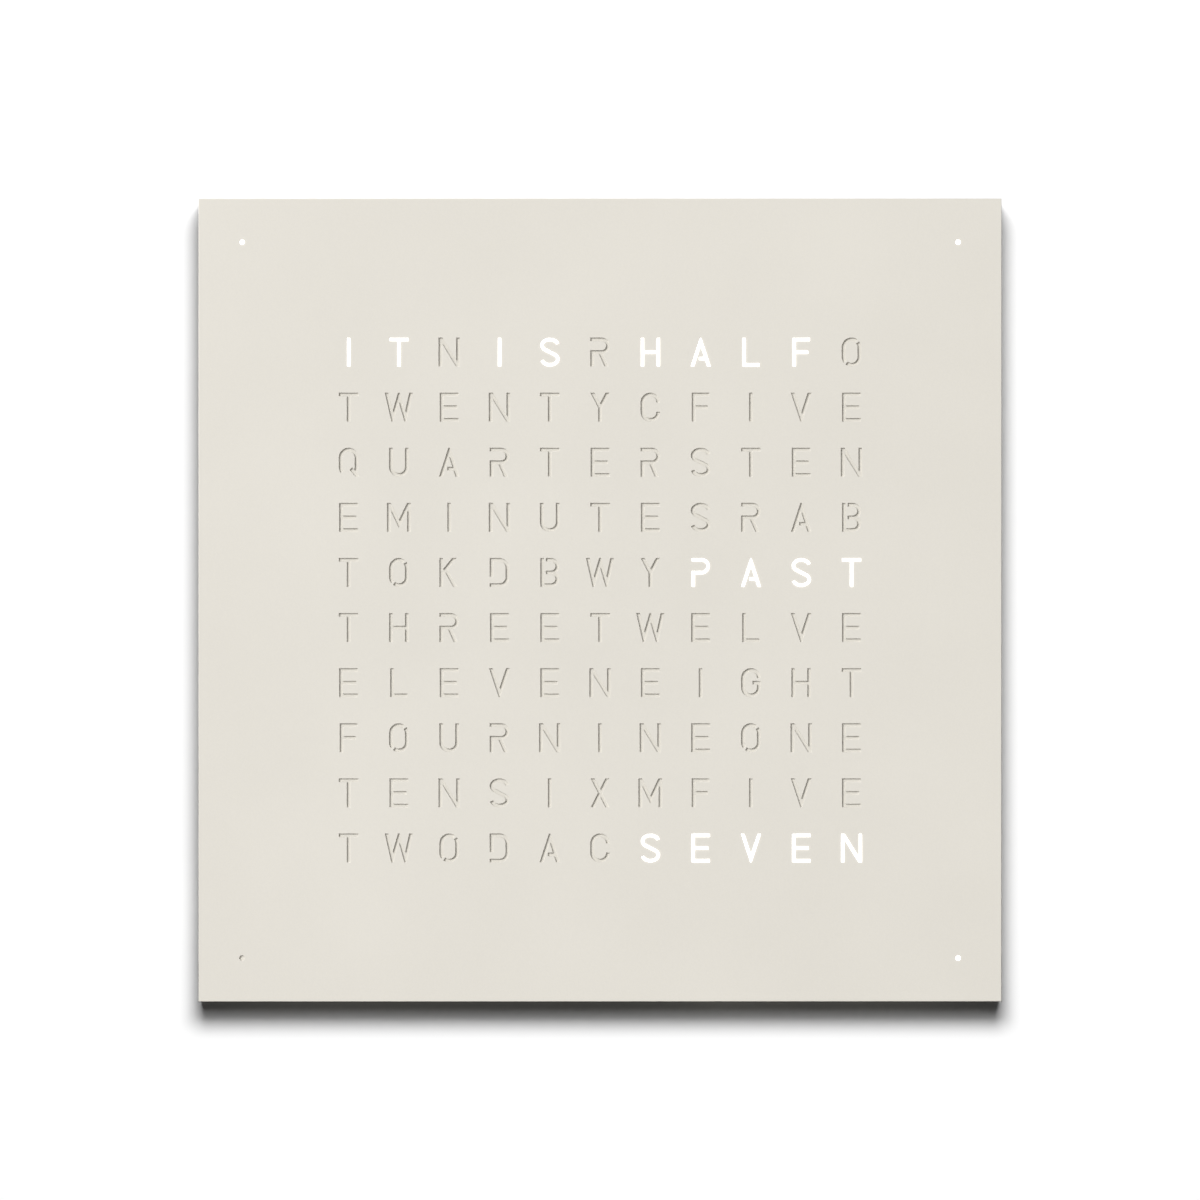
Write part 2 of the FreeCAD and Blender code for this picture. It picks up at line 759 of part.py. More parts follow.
def button_board():
    """Narrow board that carries the three switches in the side of the frame."""
    length = button_pocket_length + 2 * button_shelf_length - 2 * sheet_clearance
    board = block((button_board_outer, button_board_outer + board_thickness),
                  centred(frame_middle, button_pocket_height - 2 * sheet_clearance),
                  centred(-button_row_below_centre, length))
    return board.cut([screw_hole(Vector(button_board_outer, frame_middle, z), Vector(board_thickness, 0, 0))
                      for z in button_screw_heights()])


def button_board_screws():
    """Screws from the inside of the frame through the button board."""
    inner = button_board_outer + board_thickness
    length = board_thickness + screw_engagement - fit_clearance
    return group([screw(Vector(inner, frame_middle, z), Vector(-1, 0, 0), length)
                  for z in button_screw_heights()])


def switch_bodies():
    """Square switch bodies, each with a bore in which its plunger travels."""
    bore_end = switch_face + plunger_in_switch + button_travel + button_clearance
    bore_side = plunger_side + 2 * button_clearance
    solids = []
    for z in button_heights():
        body = block((switch_face, button_board_outer), centred(frame_middle, switch_side),
                     centred(z, switch_side))
        solids.append(body.cut(block((switch_face, bore_end), centred(frame_middle, bore_side),
                                     centred(z, bore_side))))
    return group(solids)


def button_cap(z):
    """Oblong cap with softened front edges and a flange that keeps it in its slot."""
    outer = -frame_side / 2 - button_proud
    flange = skin_inner + button_rest_clearance
    stem = block((outer, flange), centred(frame_middle, button_height), centred(z, button_length))
    front = [edge for edge in stem.Edges if edge.BoundBox.XMax < outer + 0.01]
    stem = stem.makeChamfer(button_edge_chamfer, front)
    collar = block((flange, flange + button_flange_thickness),
                   centred(frame_middle, button_height + 2 * button_flange_rim),
                   centred(z, button_length + 2 * button_flange_rim))
    return stem.fuse(collar)


def switch_plunger(z):
    """Square plunger between the cap and the switch."""
    start = skin_inner + button_rest_clearance + button_flange_thickness
    return block((start, switch_face + plunger_in_switch), centred(frame_middle, plunger_side),
                 centred(z, plunger_side))


def button_lead():
    """Flat lead from the button board across the margin to the control board."""
    start = button_board_outer + board_thickness
    end = -control_board_width / 2 + lead_overlap
    lead_y = control_rear + lead_thickness / 2
    turn = start + lead_straight
    path = [(start, frame_middle), (turn, frame_middle), (turn + lead_straight, lead_y), (end, lead_y)]
    lead = stroke_face(path, lead_thickness).extrude(Vector(0, 0, lead_width))
    return lead.translated(Vector(0, 0, control_middle - lead_width / 2))


# ---- light sensor ----
def light_pipe():
    """Clear square rod from the top of the frame down to the sensor."""
    return block(centred(sensor_offset, pipe_side), centred(frame_middle, pipe_side),
                 (sensor_board_top + sensor_thickness + pipe_gap, frame_side / 2))


def sensor_holder():
    """Moulded ring, glued under the top of the frame, that carries the sensor board."""
    across = (sensor_board_length, sensor_board_depth)
    outer = [centred(place, size) for place, size in zip((sensor_offset, frame_middle), across)]
    inner = [centred(place, size - 2 * sensor_holder_wall)
             for place, size in zip((sensor_offset, frame_middle), across)]
    rise = (sensor_board_top, opening_half)
    return block(outer[0], outer[1], rise).cut(block(inner[0], inner[1], rise))


def sensor_board():
    """Small board under its holder."""
    return block(centred(sensor_offset, sensor_board_length), centred(frame_middle, sensor_board_depth),
                 (sensor_board_top - board_thickness, sensor_board_top))


def light_sensor():
    """Photodiode that dims the words in a dark room."""
    return block(centred(sensor_offset, sensor_side), centred(frame_middle, sensor_side),
                 (sensor_board_top, sensor_board_top + sensor_thickness))


def sensor_lead():
    """Flat lead from the sensor board down to the rear of the large board."""
    start = sensor_board_top - board_thickness
    end_x = led_board_width / 2 - lead_overlap
    end_z = led_board_height / 2 - lead_overlap
    turn = led_board_height / 2 + lead_straight
    path = [(sensor_offset, start), (sensor_offset, turn + sensor_offset - end_x), (end_x, turn),
            (end_x, end_z)]
    return laid_flat(stroke_face(path, lead_width), lead_thickness, board_rear)


# ---- files ----
def export(name, shape):
    """Write one node, moved so that the bracket's screw line is the origin."""
    shape.translated(Vector(0, 0, -bracket_line)).exportStep("parts/" + name + ".step")


os.makedirs("parts", exist_ok=True)

single_pieces = (
    front_cover, cover_tabs, housing_frame, cover_magnets, diffuser_sheet, light_grid, led_board,
    led_chips, board_standoffs, corner_light_cups, corner_led_boards, corner_led_chips,
    corner_standoffs, corner_leads, back_panel, back_panel_screws, wall_bumpers, wall_bracket,
    control_board, control_standoffs, control_board_screws, microcontroller, clock_chip,
    led_driver_chips, coin_cell_holder, coin_cell, smoothing_capacitors, power_inlet,
    ribbon_connectors, ribbon_cable, button_board, button_board_screws, switch_bodies, button_lead,
    light_pipe, sensor_holder, sensor_board, light_sensor, sensor_lead,
)
for piece in single_pieces:
    export(piece.__name__, piece())

for place, z in zip(("lower", "middle", "upper"), button_heights()):
    export(place + "_button_cap", button_cap(z))
    export(place + "_switch_plunger", switch_plunger(z))
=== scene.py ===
import math

import bmesh
import bpy
from mathutils import Matrix, Vector
from mathutils.geometry import delaunay_2d_cdt


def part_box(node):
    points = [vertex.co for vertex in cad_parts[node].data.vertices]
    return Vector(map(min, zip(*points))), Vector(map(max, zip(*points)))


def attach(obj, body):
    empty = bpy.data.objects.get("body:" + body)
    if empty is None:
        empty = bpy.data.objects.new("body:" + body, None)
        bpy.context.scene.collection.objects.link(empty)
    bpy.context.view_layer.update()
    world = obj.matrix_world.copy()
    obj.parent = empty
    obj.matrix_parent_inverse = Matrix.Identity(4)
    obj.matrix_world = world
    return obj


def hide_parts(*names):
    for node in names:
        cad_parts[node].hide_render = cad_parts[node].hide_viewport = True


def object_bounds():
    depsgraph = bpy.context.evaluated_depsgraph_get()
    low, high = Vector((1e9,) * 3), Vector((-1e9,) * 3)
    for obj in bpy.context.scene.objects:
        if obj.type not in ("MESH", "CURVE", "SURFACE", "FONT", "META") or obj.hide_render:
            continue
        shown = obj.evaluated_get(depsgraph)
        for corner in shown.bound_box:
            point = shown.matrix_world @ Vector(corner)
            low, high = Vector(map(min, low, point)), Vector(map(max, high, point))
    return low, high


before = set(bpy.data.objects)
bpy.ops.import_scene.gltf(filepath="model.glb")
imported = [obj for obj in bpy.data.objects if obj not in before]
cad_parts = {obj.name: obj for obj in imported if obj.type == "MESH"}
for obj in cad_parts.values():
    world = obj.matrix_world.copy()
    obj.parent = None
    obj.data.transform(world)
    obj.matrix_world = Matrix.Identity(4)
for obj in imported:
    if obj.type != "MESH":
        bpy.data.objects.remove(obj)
cad_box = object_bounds()

# ---- wall bracket ----
# A rail folded from 1.5 mm sheet steel and bright zinc plated. Two screws hold it to the wall, and its
# lip hooks inside the clock. Pressing and tumbling leave its edges a little round.

scene = bpy.context.scene
mm = 0.001


def linear(code):
    """Linear colour of an sRGB hex value."""
    channels = [int(code[place:place + 2], 16) / 255 for place in (0, 2, 4)]
    return [c / 12.92 if c <= 0.04045 else ((c + 0.055) / 1.055) ** 2.4 for c in channels] + [1.0]


def add_node(tree, kind, inputs=(), **settings):
    """Node of a kind with its settings. Each input is a value, a node's output, or a node, which stands
    for its first output."""
    node = tree.nodes.new(kind)
    for name, value in settings.items():
        setattr(node, name, value)
    for socket, value in dict(inputs).items():
        if isinstance(value, bpy.types.Node):
            value = next(output for output in value.outputs if output.enabled)
        if isinstance(value, bpy.types.NodeSocket):
            tree.links.new(value, node.inputs[socket])
        else:
            node.inputs[socket].default_value = value
    return node


def start_finish(name):
    """Empty material, its node tree, and the output that gives each point's place on the piece."""
    finish = bpy.data.materials.new(name)
    finish.use_nodes = True
    tree = finish.node_tree
    tree.nodes.clear()
    return finish, tree, add_node(tree, "ShaderNodeTexCoord").outputs["Object"]


def end_finish(finish, inputs):
    """The material with its shader, whose inputs are constants or other nodes."""
    shader = add_node(finish.node_tree, "ShaderNodeBsdfPrincipled", inputs)
    add_node(finish.node_tree, "ShaderNodeOutputMaterial", {"Surface": shader})
    return finish


def zinc_plating():
    """Bright zinc on pressed steel: bluish, softly blotched, with fine rolling grain."""
    finish, tree, place = start_finish("zinc_plating")
    blotches = add_node(tree, "ShaderNodeTexNoise", {"Vector": place, "Scale": 1 / (5 * mm), "Detail": 2})
    tint = add_node(tree, "ShaderNodeMix",
                    {"Factor": blotches, "A": linear("B1B5BA"), "B": linear("C2C5C7")}, data_type="RGBA")
    dull = add_node(tree, "ShaderNodeMapRange", {"Value": blotches, "To Min": 0.32, "To Max": 0.4})
    stretched = add_node(tree, "ShaderNodeMapping", {"Vector": place, "Scale": (0.04, 1, 1)})
    rolling = add_node(tree, "ShaderNodeTexNoise", {"Vector": stretched, "Scale": 1 / (0.5 * mm)})
    relief = add_node(tree, "ShaderNodeBump",
                      {"Height": rolling, "Distance": 0.02 * mm, "Strength": 0.35})
    return end_finish(finish, {"Metallic": 1.0, "Base Color": tint, "Roughness": dull, "Normal": relief})


def add_piece(name, mesh, finish, body, slot, *replaced):
    """Put a finished mesh on a body, in place of the nodes that it stands for."""
    mesh.materials.clear()
    mesh.materials.append(finish)
    piece = bpy.data.objects.new(name, mesh)
    scene.collection.objects.link(piece)
    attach(piece, body)
    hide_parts(*replaced)
    return piece


# A node's mesh is loose triangles, so corners this close are one. An edge that folds less than the first
# angle lies in a flat face, and one that folds more than the second is sharp. Faces smaller than the last
# value are parts of a curve.
same_corner = 0.001 * mm
flat_fold = math.radians(1)
sharp_fold = math.radians(25)
small_face = (1.5 * mm) ** 2


def with_soft_edges(node, radius, steps=2, shortest=0):
    """Copy of a node's mesh with its sharp edges rounded, or only the outer ones that are longer than
    the shortest length given."""
    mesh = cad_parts[node].data.copy()
    form = bmesh.new()
    form.from_mesh(mesh)
    bmesh.ops.remove_doubles(form, verts=form.verts, dist=same_corner)
    bmesh.ops.dissolve_limit(form, angle_limit=flat_fold, verts=form.verts, edges=form.edges)
    sharp = [edge for edge in form.edges
             if len(edge.link_faces) == 2 and edge.calc_face_angle() > sharp_fold
             and (not shortest or edge.calc_length() > shortest and edge.calc_face_angle_signed() > 0)]
    rounds = bmesh.ops.bevel(form, geom=sharp, offset=radius, segments=steps, profile=0.5,
                             affect="EDGES", clamp_overlap=True)["faces"]
    for face in form.faces:
        face.smooth = face in rounds or face.calc_area() < small_face
    bmesh.ops.remove_doubles(form, verts=form.verts, dist=same_corner)
    form.to_mesh(mesh)
    form.free()
    return mesh


add_piece("folded_wall_bracket", with_soft_edges("wall_bracket", 0.3 * mm), zinc_plating(),
          "wall_bracket", "bracket_zinc", "wall_bracket")

# ---- housing frame ----
# A mitred ring of fibreboard, primed and sprayed with satin cream lacquer. The film lies smooth on the
# faces, with the faint orange peel of a sprayed coat.


def sprayed_lacquer():
    """Satin lacquer over sealed fibreboard: cream, softly glossy, with orange peel 1.6 mm across."""
    finish, tree, place = start_finish("sprayed_lacquer")
    cloud = add_node(tree, "ShaderNodeTexNoise", {"Vector": place, "Scale": 1 / (60 * mm), "Detail": 2})
    tint = add_node(tree, "ShaderNodeMix",
                    {"Factor": cloud, "A": linear("DFDACF"), "B": linear("E4E0D6")}, data_type="RGBA")
    peel = add_node(tree, "ShaderNodeTexNoise", {"Vector": place, "Scale": 1 / (1.6 * mm), "Detail": 1})
    dull = add_node(tree, "ShaderNodeMapRange", {"Value": cloud, "To Min": 0.34, "To Max": 0.44})
    relief = add_node(tree, "ShaderNodeBump", {"Height": peel, "Distance": 0.03 * mm, "Strength": 0.5})
    return end_finish(finish, {"Base Color": tint, "Roughness": dull, "Normal": relief})


lacquered_frame = add_piece("lacquered_frame", with_soft_edges("housing_frame", 0.4 * mm, 3, 100 * mm),
                            sprayed_lacquer(), "clock", "frame_lacquer", "housing_frame")
# Its sides throw no light back on the wall, so that the shadow round the clock stays deep.
lacquered_frame.visible_diffuse = False

# ---- cover magnets ----
# Eight sintered block magnets with a nickel coat. They are glued into pockets in the front of the
# frame, and the steel cover clings to them.


def nickel_coat():
    """Nickel on a sintered magnet: warm, bright, with a finely pebbled surface."""
    finish, tree, place = start_finish("nickel_coat")
    pebbles = add_node(tree, "ShaderNodeTexVoronoi", {"Vector": place, "Scale": 1 / (0.35 * mm)})
    smear = add_node(tree, "ShaderNodeTexNoise", {"Vector": place, "Scale": 1 / (3 * mm), "Detail": 2})
    dull = add_node(tree, "ShaderNodeMapRange", {"Value": smear, "To Min": 0.16, "To Max": 0.34})
    relief = add_node(tree, "ShaderNodeBump", {"Height": pebbles, "Distance": 0.01 * mm, "Strength": 0.3})
    return end_finish(finish, {"Metallic": 1.0, "Base Color": linear("C6C1B8"), "Roughness": dull,
                               "Normal": relief})


def dress(finish, *nodes):
    """Give nodes that keep their own shape their finish."""
    for node in nodes:
        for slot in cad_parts[node].material_slots:
            slot.material = finish


dress(nickel_coat(), "cover_magnets")

# ---- light grid and light cups ----
# The grid, the four corner cups and the sensor's holder are injection-moulded white ABS. Each cell of the
# grid widens towards the front so that one lamp fills one letter, and its walls keep its light in.


def moulded_white():
    """White ABS from a spark-eroded mould: matt, with grain 0.4 mm across."""
    finish, tree, place = start_finish("moulded_white")
    grain = add_node(tree, "ShaderNodeTexNoise", {"Vector": place, "Scale": 1 / (0.4 * mm), "Detail": 2})
    flow = add_node(tree, "ShaderNodeTexNoise", {"Vector": place, "Scale": 1 / (25 * mm), "Detail": 1})
    tint = add_node(tree, "ShaderNodeMix", {"Factor": flow, "A": linear("ECECE8"), "B": linear("F3F3F0")},
                    data_type="RGBA")
    relief = add_node(tree, "ShaderNodeBump", {"Height": grain, "Distance": 0.03 * mm, "Strength": 0.5})
    return end_finish(finish, {"Base Color": tint, "Roughness": 0.55, "Normal": relief})


dress(moulded_white(), "light_grid", "corner_light_cups", "sensor_holder")

# ---- diffuser sheet ----
# Cast opal acrylic in the front rebate. The lamps behind it light the cells of the words that tell
# the time, and three of the four corner dots.

grid_low, grid_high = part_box("light_grid")
cup_low, cup_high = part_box("corner_light_cups")
sheet_low, sheet_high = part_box("diffuser_sheet")
face_middle = (sheet_low + sheet_high) / 2
columns, rows = 11, 10
grid_rim = 2 * mm
cup_side = 15 * mm
column_pitch = (grid_high.x - grid_low.x - 2 * grid_rim) / columns
row_pitch = (grid_high.z - grid_low.z - 2 * grid_rim) / rows
dot_offset = (cup_high.x - cup_low.x - cup_side) / 2
# Row, first column and last column of each lit word, counted from the top left.
lit_words = ((1, 1, 2), (1, 4, 5), (1, 7, 10), (5, 8, 11), (10, 7, 11))
lit_corners = ((-1, 1), (1, 1), (1, -1))
# Light creeps a little way past a cell's wall and is full a little way inside it. It fades from the lamp
# to the cell's corners, this many widths of a cell away.
glow_ends = 0.4 * mm
glow_full = -1.2 * mm
# The last value is painted light: a faint glow of the sheet outside the lit areas, which lifts the shade
# inside the cuts of the unlit letters.
glow_at_lamp, glow_at_corner, painted_unlit_glow = 1.25, 1.05, 0.2
corner_distance = 0.7


def cell_middle(row, column):
    """Middle of a letter's cell on the face."""
    return (face_middle.x + (column - (columns + 1) / 2) * column_pitch,
            face_middle.z + ((rows + 1) / 2 - row) * row_pitch)


def lit_areas():
    """Middle and half size of each lit area on the sheet."""
    areas = []
    for row, first, last in lit_words:
        left, height = cell_middle(row, first)
        right, height = cell_middle(row, last)
        half = ((right - left + column_pitch) / 2, row_pitch / 2)
        areas.append((((left + right) / 2, height), half))
    for side, rise in lit_corners:
        middle = (face_middle.x + side * dot_offset, face_middle.z + rise * dot_offset)
        areas.append((middle, (cup_side / 2, cup_side / 2)))
    return areas


def off_the_lamp(tree, place):
    """Node for the distance from the lamp in the middle of the cell, in widths of a cell."""
    corner = add_node(tree, "ShaderNodeVectorMath",
                      {0: place, 1: (grid_low.x + grid_rim, 0, grid_low.z + grid_rim)},
                      operation="SUBTRACT")
    cells = add_node(tree, "ShaderNodeVectorMath", {0: corner, 1: (1 / column_pitch, 0, 1 / row_pitch)},
                     operation="MULTIPLY")
    in_cell = add_node(tree, "ShaderNodeVectorMath", {0: cells}, operation="FRACTION")
    return add_node(tree, "ShaderNodeVectorMath", {0: in_cell, 1: (0.5, 0, 0.5)},
                    operation="DISTANCE")


def opal_acrylic():
    """Opal acrylic: milky cream, smooth and glossy. Lit areas glow, brightest behind the lamp. The rest has
    a faint painted glow that lifts the shade inside the cuts of the unlit letters."""
    finish, tree, place = start_finish("opal_acrylic")
    lit = None
    for (x, z), (half_width, half_height) in lit_areas():
        out = add_node(tree, "ShaderNodeVectorMath", {0: place, 1: (x, 0, z)}, operation="SUBTRACT")
        away = add_node(tree, "ShaderNodeVectorMath", {0: out}, operation="ABSOLUTE")
        past = add_node(tree, "ShaderNodeVectorMath", {0: away, 1: (half_width, 1, half_height)},
                        operation="SUBTRACT")
        parts = add_node(tree, "ShaderNodeSeparateXYZ", {0: past})
        edge = add_node(tree, "ShaderNodeMath", {0: parts.outputs["X"], 1: parts.outputs["Z"]},
                        operation="MAXIMUM")
        inside = add_node(tree, "ShaderNodeMapRange",
                          {"Value": edge, "From Min": glow_ends, "From Max": glow_full})
        lit = inside if lit is None else add_node(tree, "ShaderNodeMath", {0: lit, 1: inside},
                                                  operation="MAXIMUM")
    glow = add_node(tree, "ShaderNodeMapRange",
                    {"Value": off_the_lamp(tree, place), "From Max": corner_distance,
                     "To Min": glow_at_lamp, "To Max": glow_at_corner})
    # Outside the lit areas the sheet has the painted glow, which lifts the shade in the unlit letters.
    strength = add_node(tree, "ShaderNodeMix", {"Factor": lit, "A": painted_unlit_glow, "B": glow},
                        data_type="FLOAT")
    tint = add_node(tree, "ShaderNodeMix", {"Factor": lit, "A": linear("E4DED3"), "B": linear("FFFFFF")},
                    data_type="RGBA")
    cast = add_node(tree, "ShaderNodeTexNoise", {"Vector": place, "Scale": 1 / (40 * mm), "Detail": 1})
    dull = add_node(tree, "ShaderNodeMapRange", {"Value": cast, "To Min": 0.22, "To Max": 0.3})
    return end_finish(finish, {"Base Color": linear("B6B3AB"), "Roughness": dull, "Emission Color": tint,
                               "Emission Strength": strength})


dress(opal_acrylic(), "diffuser_sheet")

# ---- circuit boards ----
# Glass-epoxy laminate under a green solder mask. Tracks show as lighter lines and the drilled, tinned
# holes as small dots.

track_raster = 2.54 * mm
hole_spacing = 7.6 * mm
# A hole's radius, as a share of the spacing.
hole_radius = 0.09


def solder_mask():
    """Green solder mask: glossy, with tracks on a 2.54 mm raster under it."""
    finish, tree, place = start_finish("solder_mask")
    turned = add_node(tree, "ShaderNodeMapping", {"Vector": place, "Rotation": (math.radians(90), 0, 0)})
    tracks = add_node(tree, "ShaderNodeTexBrick",
                      {"Vector": turned, "Color1": linear("0E4A2E"), "Color2": linear("11573A"),
                       "Mortar": linear("2A7A4C"), "Scale": 1.0, "Mortar Size": 0.18 * mm,
                       "Brick Width": 4 * track_raster, "Row Height": track_raster})
    dots = add_node(tree, "ShaderNodeTexVoronoi",
                    {"Vector": turned, "Scale": 1 / hole_spacing, "Randomness": 0.6})
    hole = add_node(tree, "ShaderNodeMath", {0: dots, 1: hole_radius}, operation="LESS_THAN")
    tint = add_node(tree, "ShaderNodeMix", {"Factor": hole, "A": tracks.outputs["Color"],
                                            "B": linear("B9BBB6")}, data_type="RGBA")
    relief = add_node(tree, "ShaderNodeBump",
                      {"Height": tracks.outputs["Fac"], "Distance": 0.03 * mm, "Strength": 0.4})
    return end_finish(finish, {"Metallic": hole, "Base Color": tint, "Roughness": 0.3, "Normal": relief})


dress(solder_mask(), "led_board", "corner_led_boards", "control_board", "button_board", "sensor_board")

# ---- lamps and chips ----
# A white surface-mounted lamp with a yellow phosphor window sits behind each letter and corner dot.
# Chips, switches and the light sensor have black packages moulded from epoxy. All are soldered down.

# Where the window's edge ends and starts, in widths of a cell.
window_ends, window_full = 0.04, 0.036


def lamp_package():
    """White reflector package round a phosphor window 2.2 mm across."""
    finish, tree, place = start_finish("lamp_package")
    window = add_node(tree, "ShaderNodeMapRange",
                      {"Value": off_the_lamp(tree, place), "From Min": window_ends,
                       "From Max": window_full})
    tint = add_node(tree, "ShaderNodeMix",
                    {"Factor": window, "A": linear("F0EEE6"), "B": linear("E9C63B")}, data_type="RGBA")
    return end_finish(finish, {"Base Color": tint, "Roughness": 0.35})


def moulded_epoxy():
    """Black filled epoxy: matt and slightly speckled by the filler."""
    finish, tree, place = start_finish("moulded_epoxy")
    filler = add_node(tree, "ShaderNodeTexNoise", {"Vector": place, "Scale": 1 / (0.25 * mm)})
    tint = add_node(tree, "ShaderNodeMix",
                    {"Factor": filler, "A": linear("18181A"), "B": linear("2A2A2C")}, data_type="RGBA")
    return end_finish(finish, {"Base Color": tint, "Roughness": 0.6})


dress(lamp_package(), "led_chips", "corner_led_chips")
dress(moulded_epoxy(), "microcontroller", "clock_chip", "led_driver_chips", "switch_bodies",
      "light_sensor", "lower_switch_plunger", "middle_switch_plunger", "upper_switch_plunger")

# ---- stand-offs ----
# Hexagonal steel stand-offs, turned from bar and plated with zinc. They are clinched in the back panel
# and hold the boards at their height.


def turned_steel():
    """Zinc-flashed steel bar: bright, with fine turning marks across its length."""
    finish, tree, place = start_finish("turned_steel")
    marks = add_node(tree, "ShaderNodeTexWave",
                     {"Vector": place, "Scale": 1 / (0.9 * mm), "Distortion": 0.3}, bands_direction="Y")
    relief = add_node(tree, "ShaderNodeBump",
                      {"Height": marks.outputs["Fac"], "Distance": 0.01 * mm, "Strength": 0.4})
    smear = add_node(tree, "ShaderNodeTexNoise", {"Vector": place, "Scale": 1 / (2 * mm)})
    dull = add_node(tree, "ShaderNodeMapRange", {"Value": smear, "To Min": 0.25, "To Max": 0.4})
    return end_finish(finish, {"Metallic": 1.0, "Base Color": linear("BDBFC1"), "Roughness": dull,
                               "Normal": relief})


turned_zinc = turned_steel()
dress(turned_zinc, "board_standoffs", "corner_standoffs", "control_standoffs")

# ---- control board's other parts ----
# A nylon holder with a stainless coin cell, resin-dipped block capacitors, ribbon sockets, and the
# barrel inlet with its nickel pin.


def moulded_plastic(name, dark, light, roughness):
    """Plastic or rubber from a mould: two close shades in a faint flow pattern, and a fine grain."""
    finish, tree, place = start_finish(name)
    flow = add_node(tree, "ShaderNodeTexNoise", {"Vector": place, "Scale": 1 / (2.5 * mm), "Detail": 2})
    tint = add_node(tree, "ShaderNodeMix", {"Factor": flow, "A": linear(dark), "B": linear(light)},
                    data_type="RGBA")
    grain = add_node(tree, "ShaderNodeTexNoise", {"Vector": place, "Scale": 1 / (0.3 * mm)})
    relief = add_node(tree, "ShaderNodeBump", {"Height": grain, "Distance": 0.02 * mm, "Strength": 0.4})
    return end_finish(finish, {"Base Color": tint, "Roughness": roughness, "Normal": relief})


def spun_stainless():
    """Deep-drawn stainless can with faint rings from its forming."""
    finish, tree, place = start_finish("spun_stainless")
    low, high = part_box("coin_cell")
    middle = (low + high) / 2
    out = add_node(tree, "ShaderNodeVectorMath", {0: place, 1: middle}, operation="SUBTRACT")
    rings = add_node(tree, "ShaderNodeTexWave", {"Vector": out, "Scale": 1 / (2 * mm)}, wave_type="RINGS",
                     rings_direction="Y")
    relief = add_node(tree, "ShaderNodeBump",
                      {"Height": rings.outputs["Fac"], "Distance": 0.01 * mm, "Strength": 0.4})
    return end_finish(finish, {"Metallic": 1.0, "Base Color": linear("C4C4C2"), "Roughness": 0.27,
                               "Normal": relief})


inlet_pin_radius = 1.3 * mm


def inlet_plastic():
    """Black moulded body, with a nickel-plated pin on the axis of its bore."""
    finish, tree, place = start_finish("inlet_plastic")
    low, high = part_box("power_inlet")
    axis = (low + high) / 2
    out = add_node(tree, "ShaderNodeVectorMath", {0: place, 1: axis}, operation="SUBTRACT")
    flat = add_node(tree, "ShaderNodeVectorMath", {0: out, 1: (1, 1, 0)}, operation="MULTIPLY")
    distance = add_node(tree, "ShaderNodeVectorMath", {0: flat}, operation="LENGTH")
    pin = add_node(tree, "ShaderNodeMath", {0: distance, 1: inlet_pin_radius}, operation="LESS_THAN")
    tint = add_node(tree, "ShaderNodeMix", {"Factor": pin, "A": linear("1D1D1F"), "B": linear("D2CDC2")},
                    data_type="RGBA")
    dull = add_node(tree, "ShaderNodeMapRange", {"Value": pin, "To Min": 0.42, "To Max": 0.22})
    return end_finish(finish, {"Metallic": pin, "Base Color": tint, "Roughness": dull})


dress(moulded_plastic("black_nylon", "1A1A1B", "232324", 0.45), "coin_cell_holder")
dress(moulded_plastic("ivory_nylon", "E3DFCF", "EEEADB", 0.4), "ribbon_connectors")
dress(moulded_plastic("dipped_resin", "C8892B", "D99B3A", 0.3), "smoothing_capacitors")
dress(spun_stainless(), "coin_cell")
dress(inlet_plastic(), "power_inlet")

# ---- cables ----
# Flat black vinyl leads run between the boards. A grey ribbon cable, with one ridge for each core, joins
# the control board to the large one.

core_pitch = 1.27 * mm


def ribbon_vinyl():
    """Grey ribbon cable: ridges 1.27 mm apart, with one red edge core."""
    finish, tree, place = start_finish("ribbon_vinyl")
    low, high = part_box("ribbon_cable")
    across = add_node(tree, "ShaderNodeSeparateXYZ", {0: place})
    from_edge = add_node(tree, "ShaderNodeMath", {0: across.outputs["X"], 1: low.x}, operation="SUBTRACT")
    turns = add_node(tree, "ShaderNodeMath", {0: from_edge, 1: 2 * math.pi / core_pitch},
                     operation="MULTIPLY")
    ridge = add_node(tree, "ShaderNodeMath", {0: turns}, operation="COSINE")
    relief = add_node(tree, "ShaderNodeBump", {"Height": ridge, "Distance": 0.12 * mm}, invert=True)
    red = add_node(tree, "ShaderNodeMath", {0: from_edge, 1: core_pitch}, operation="LESS_THAN")
    tint = add_node(tree, "ShaderNodeMix", {"Factor": red, "A": linear("9A9CA0"), "B": linear("9B3A34")},
                    data_type="RGBA")
    return end_finish(finish, {"Base Color": tint, "Roughness": 0.5, "Normal": relief})


dress(ribbon_vinyl(), "ribbon_cable")
dress(moulded_plastic("black_vinyl", "202022", "2B2B2D", 0.5), "corner_leads", "button_lead", "sensor_lead")

# ---- back panel ----
# Sheet steel, laser cut and powder coated black with a fine texture. It sits in the frame's rear rebate
# and carries the boards.


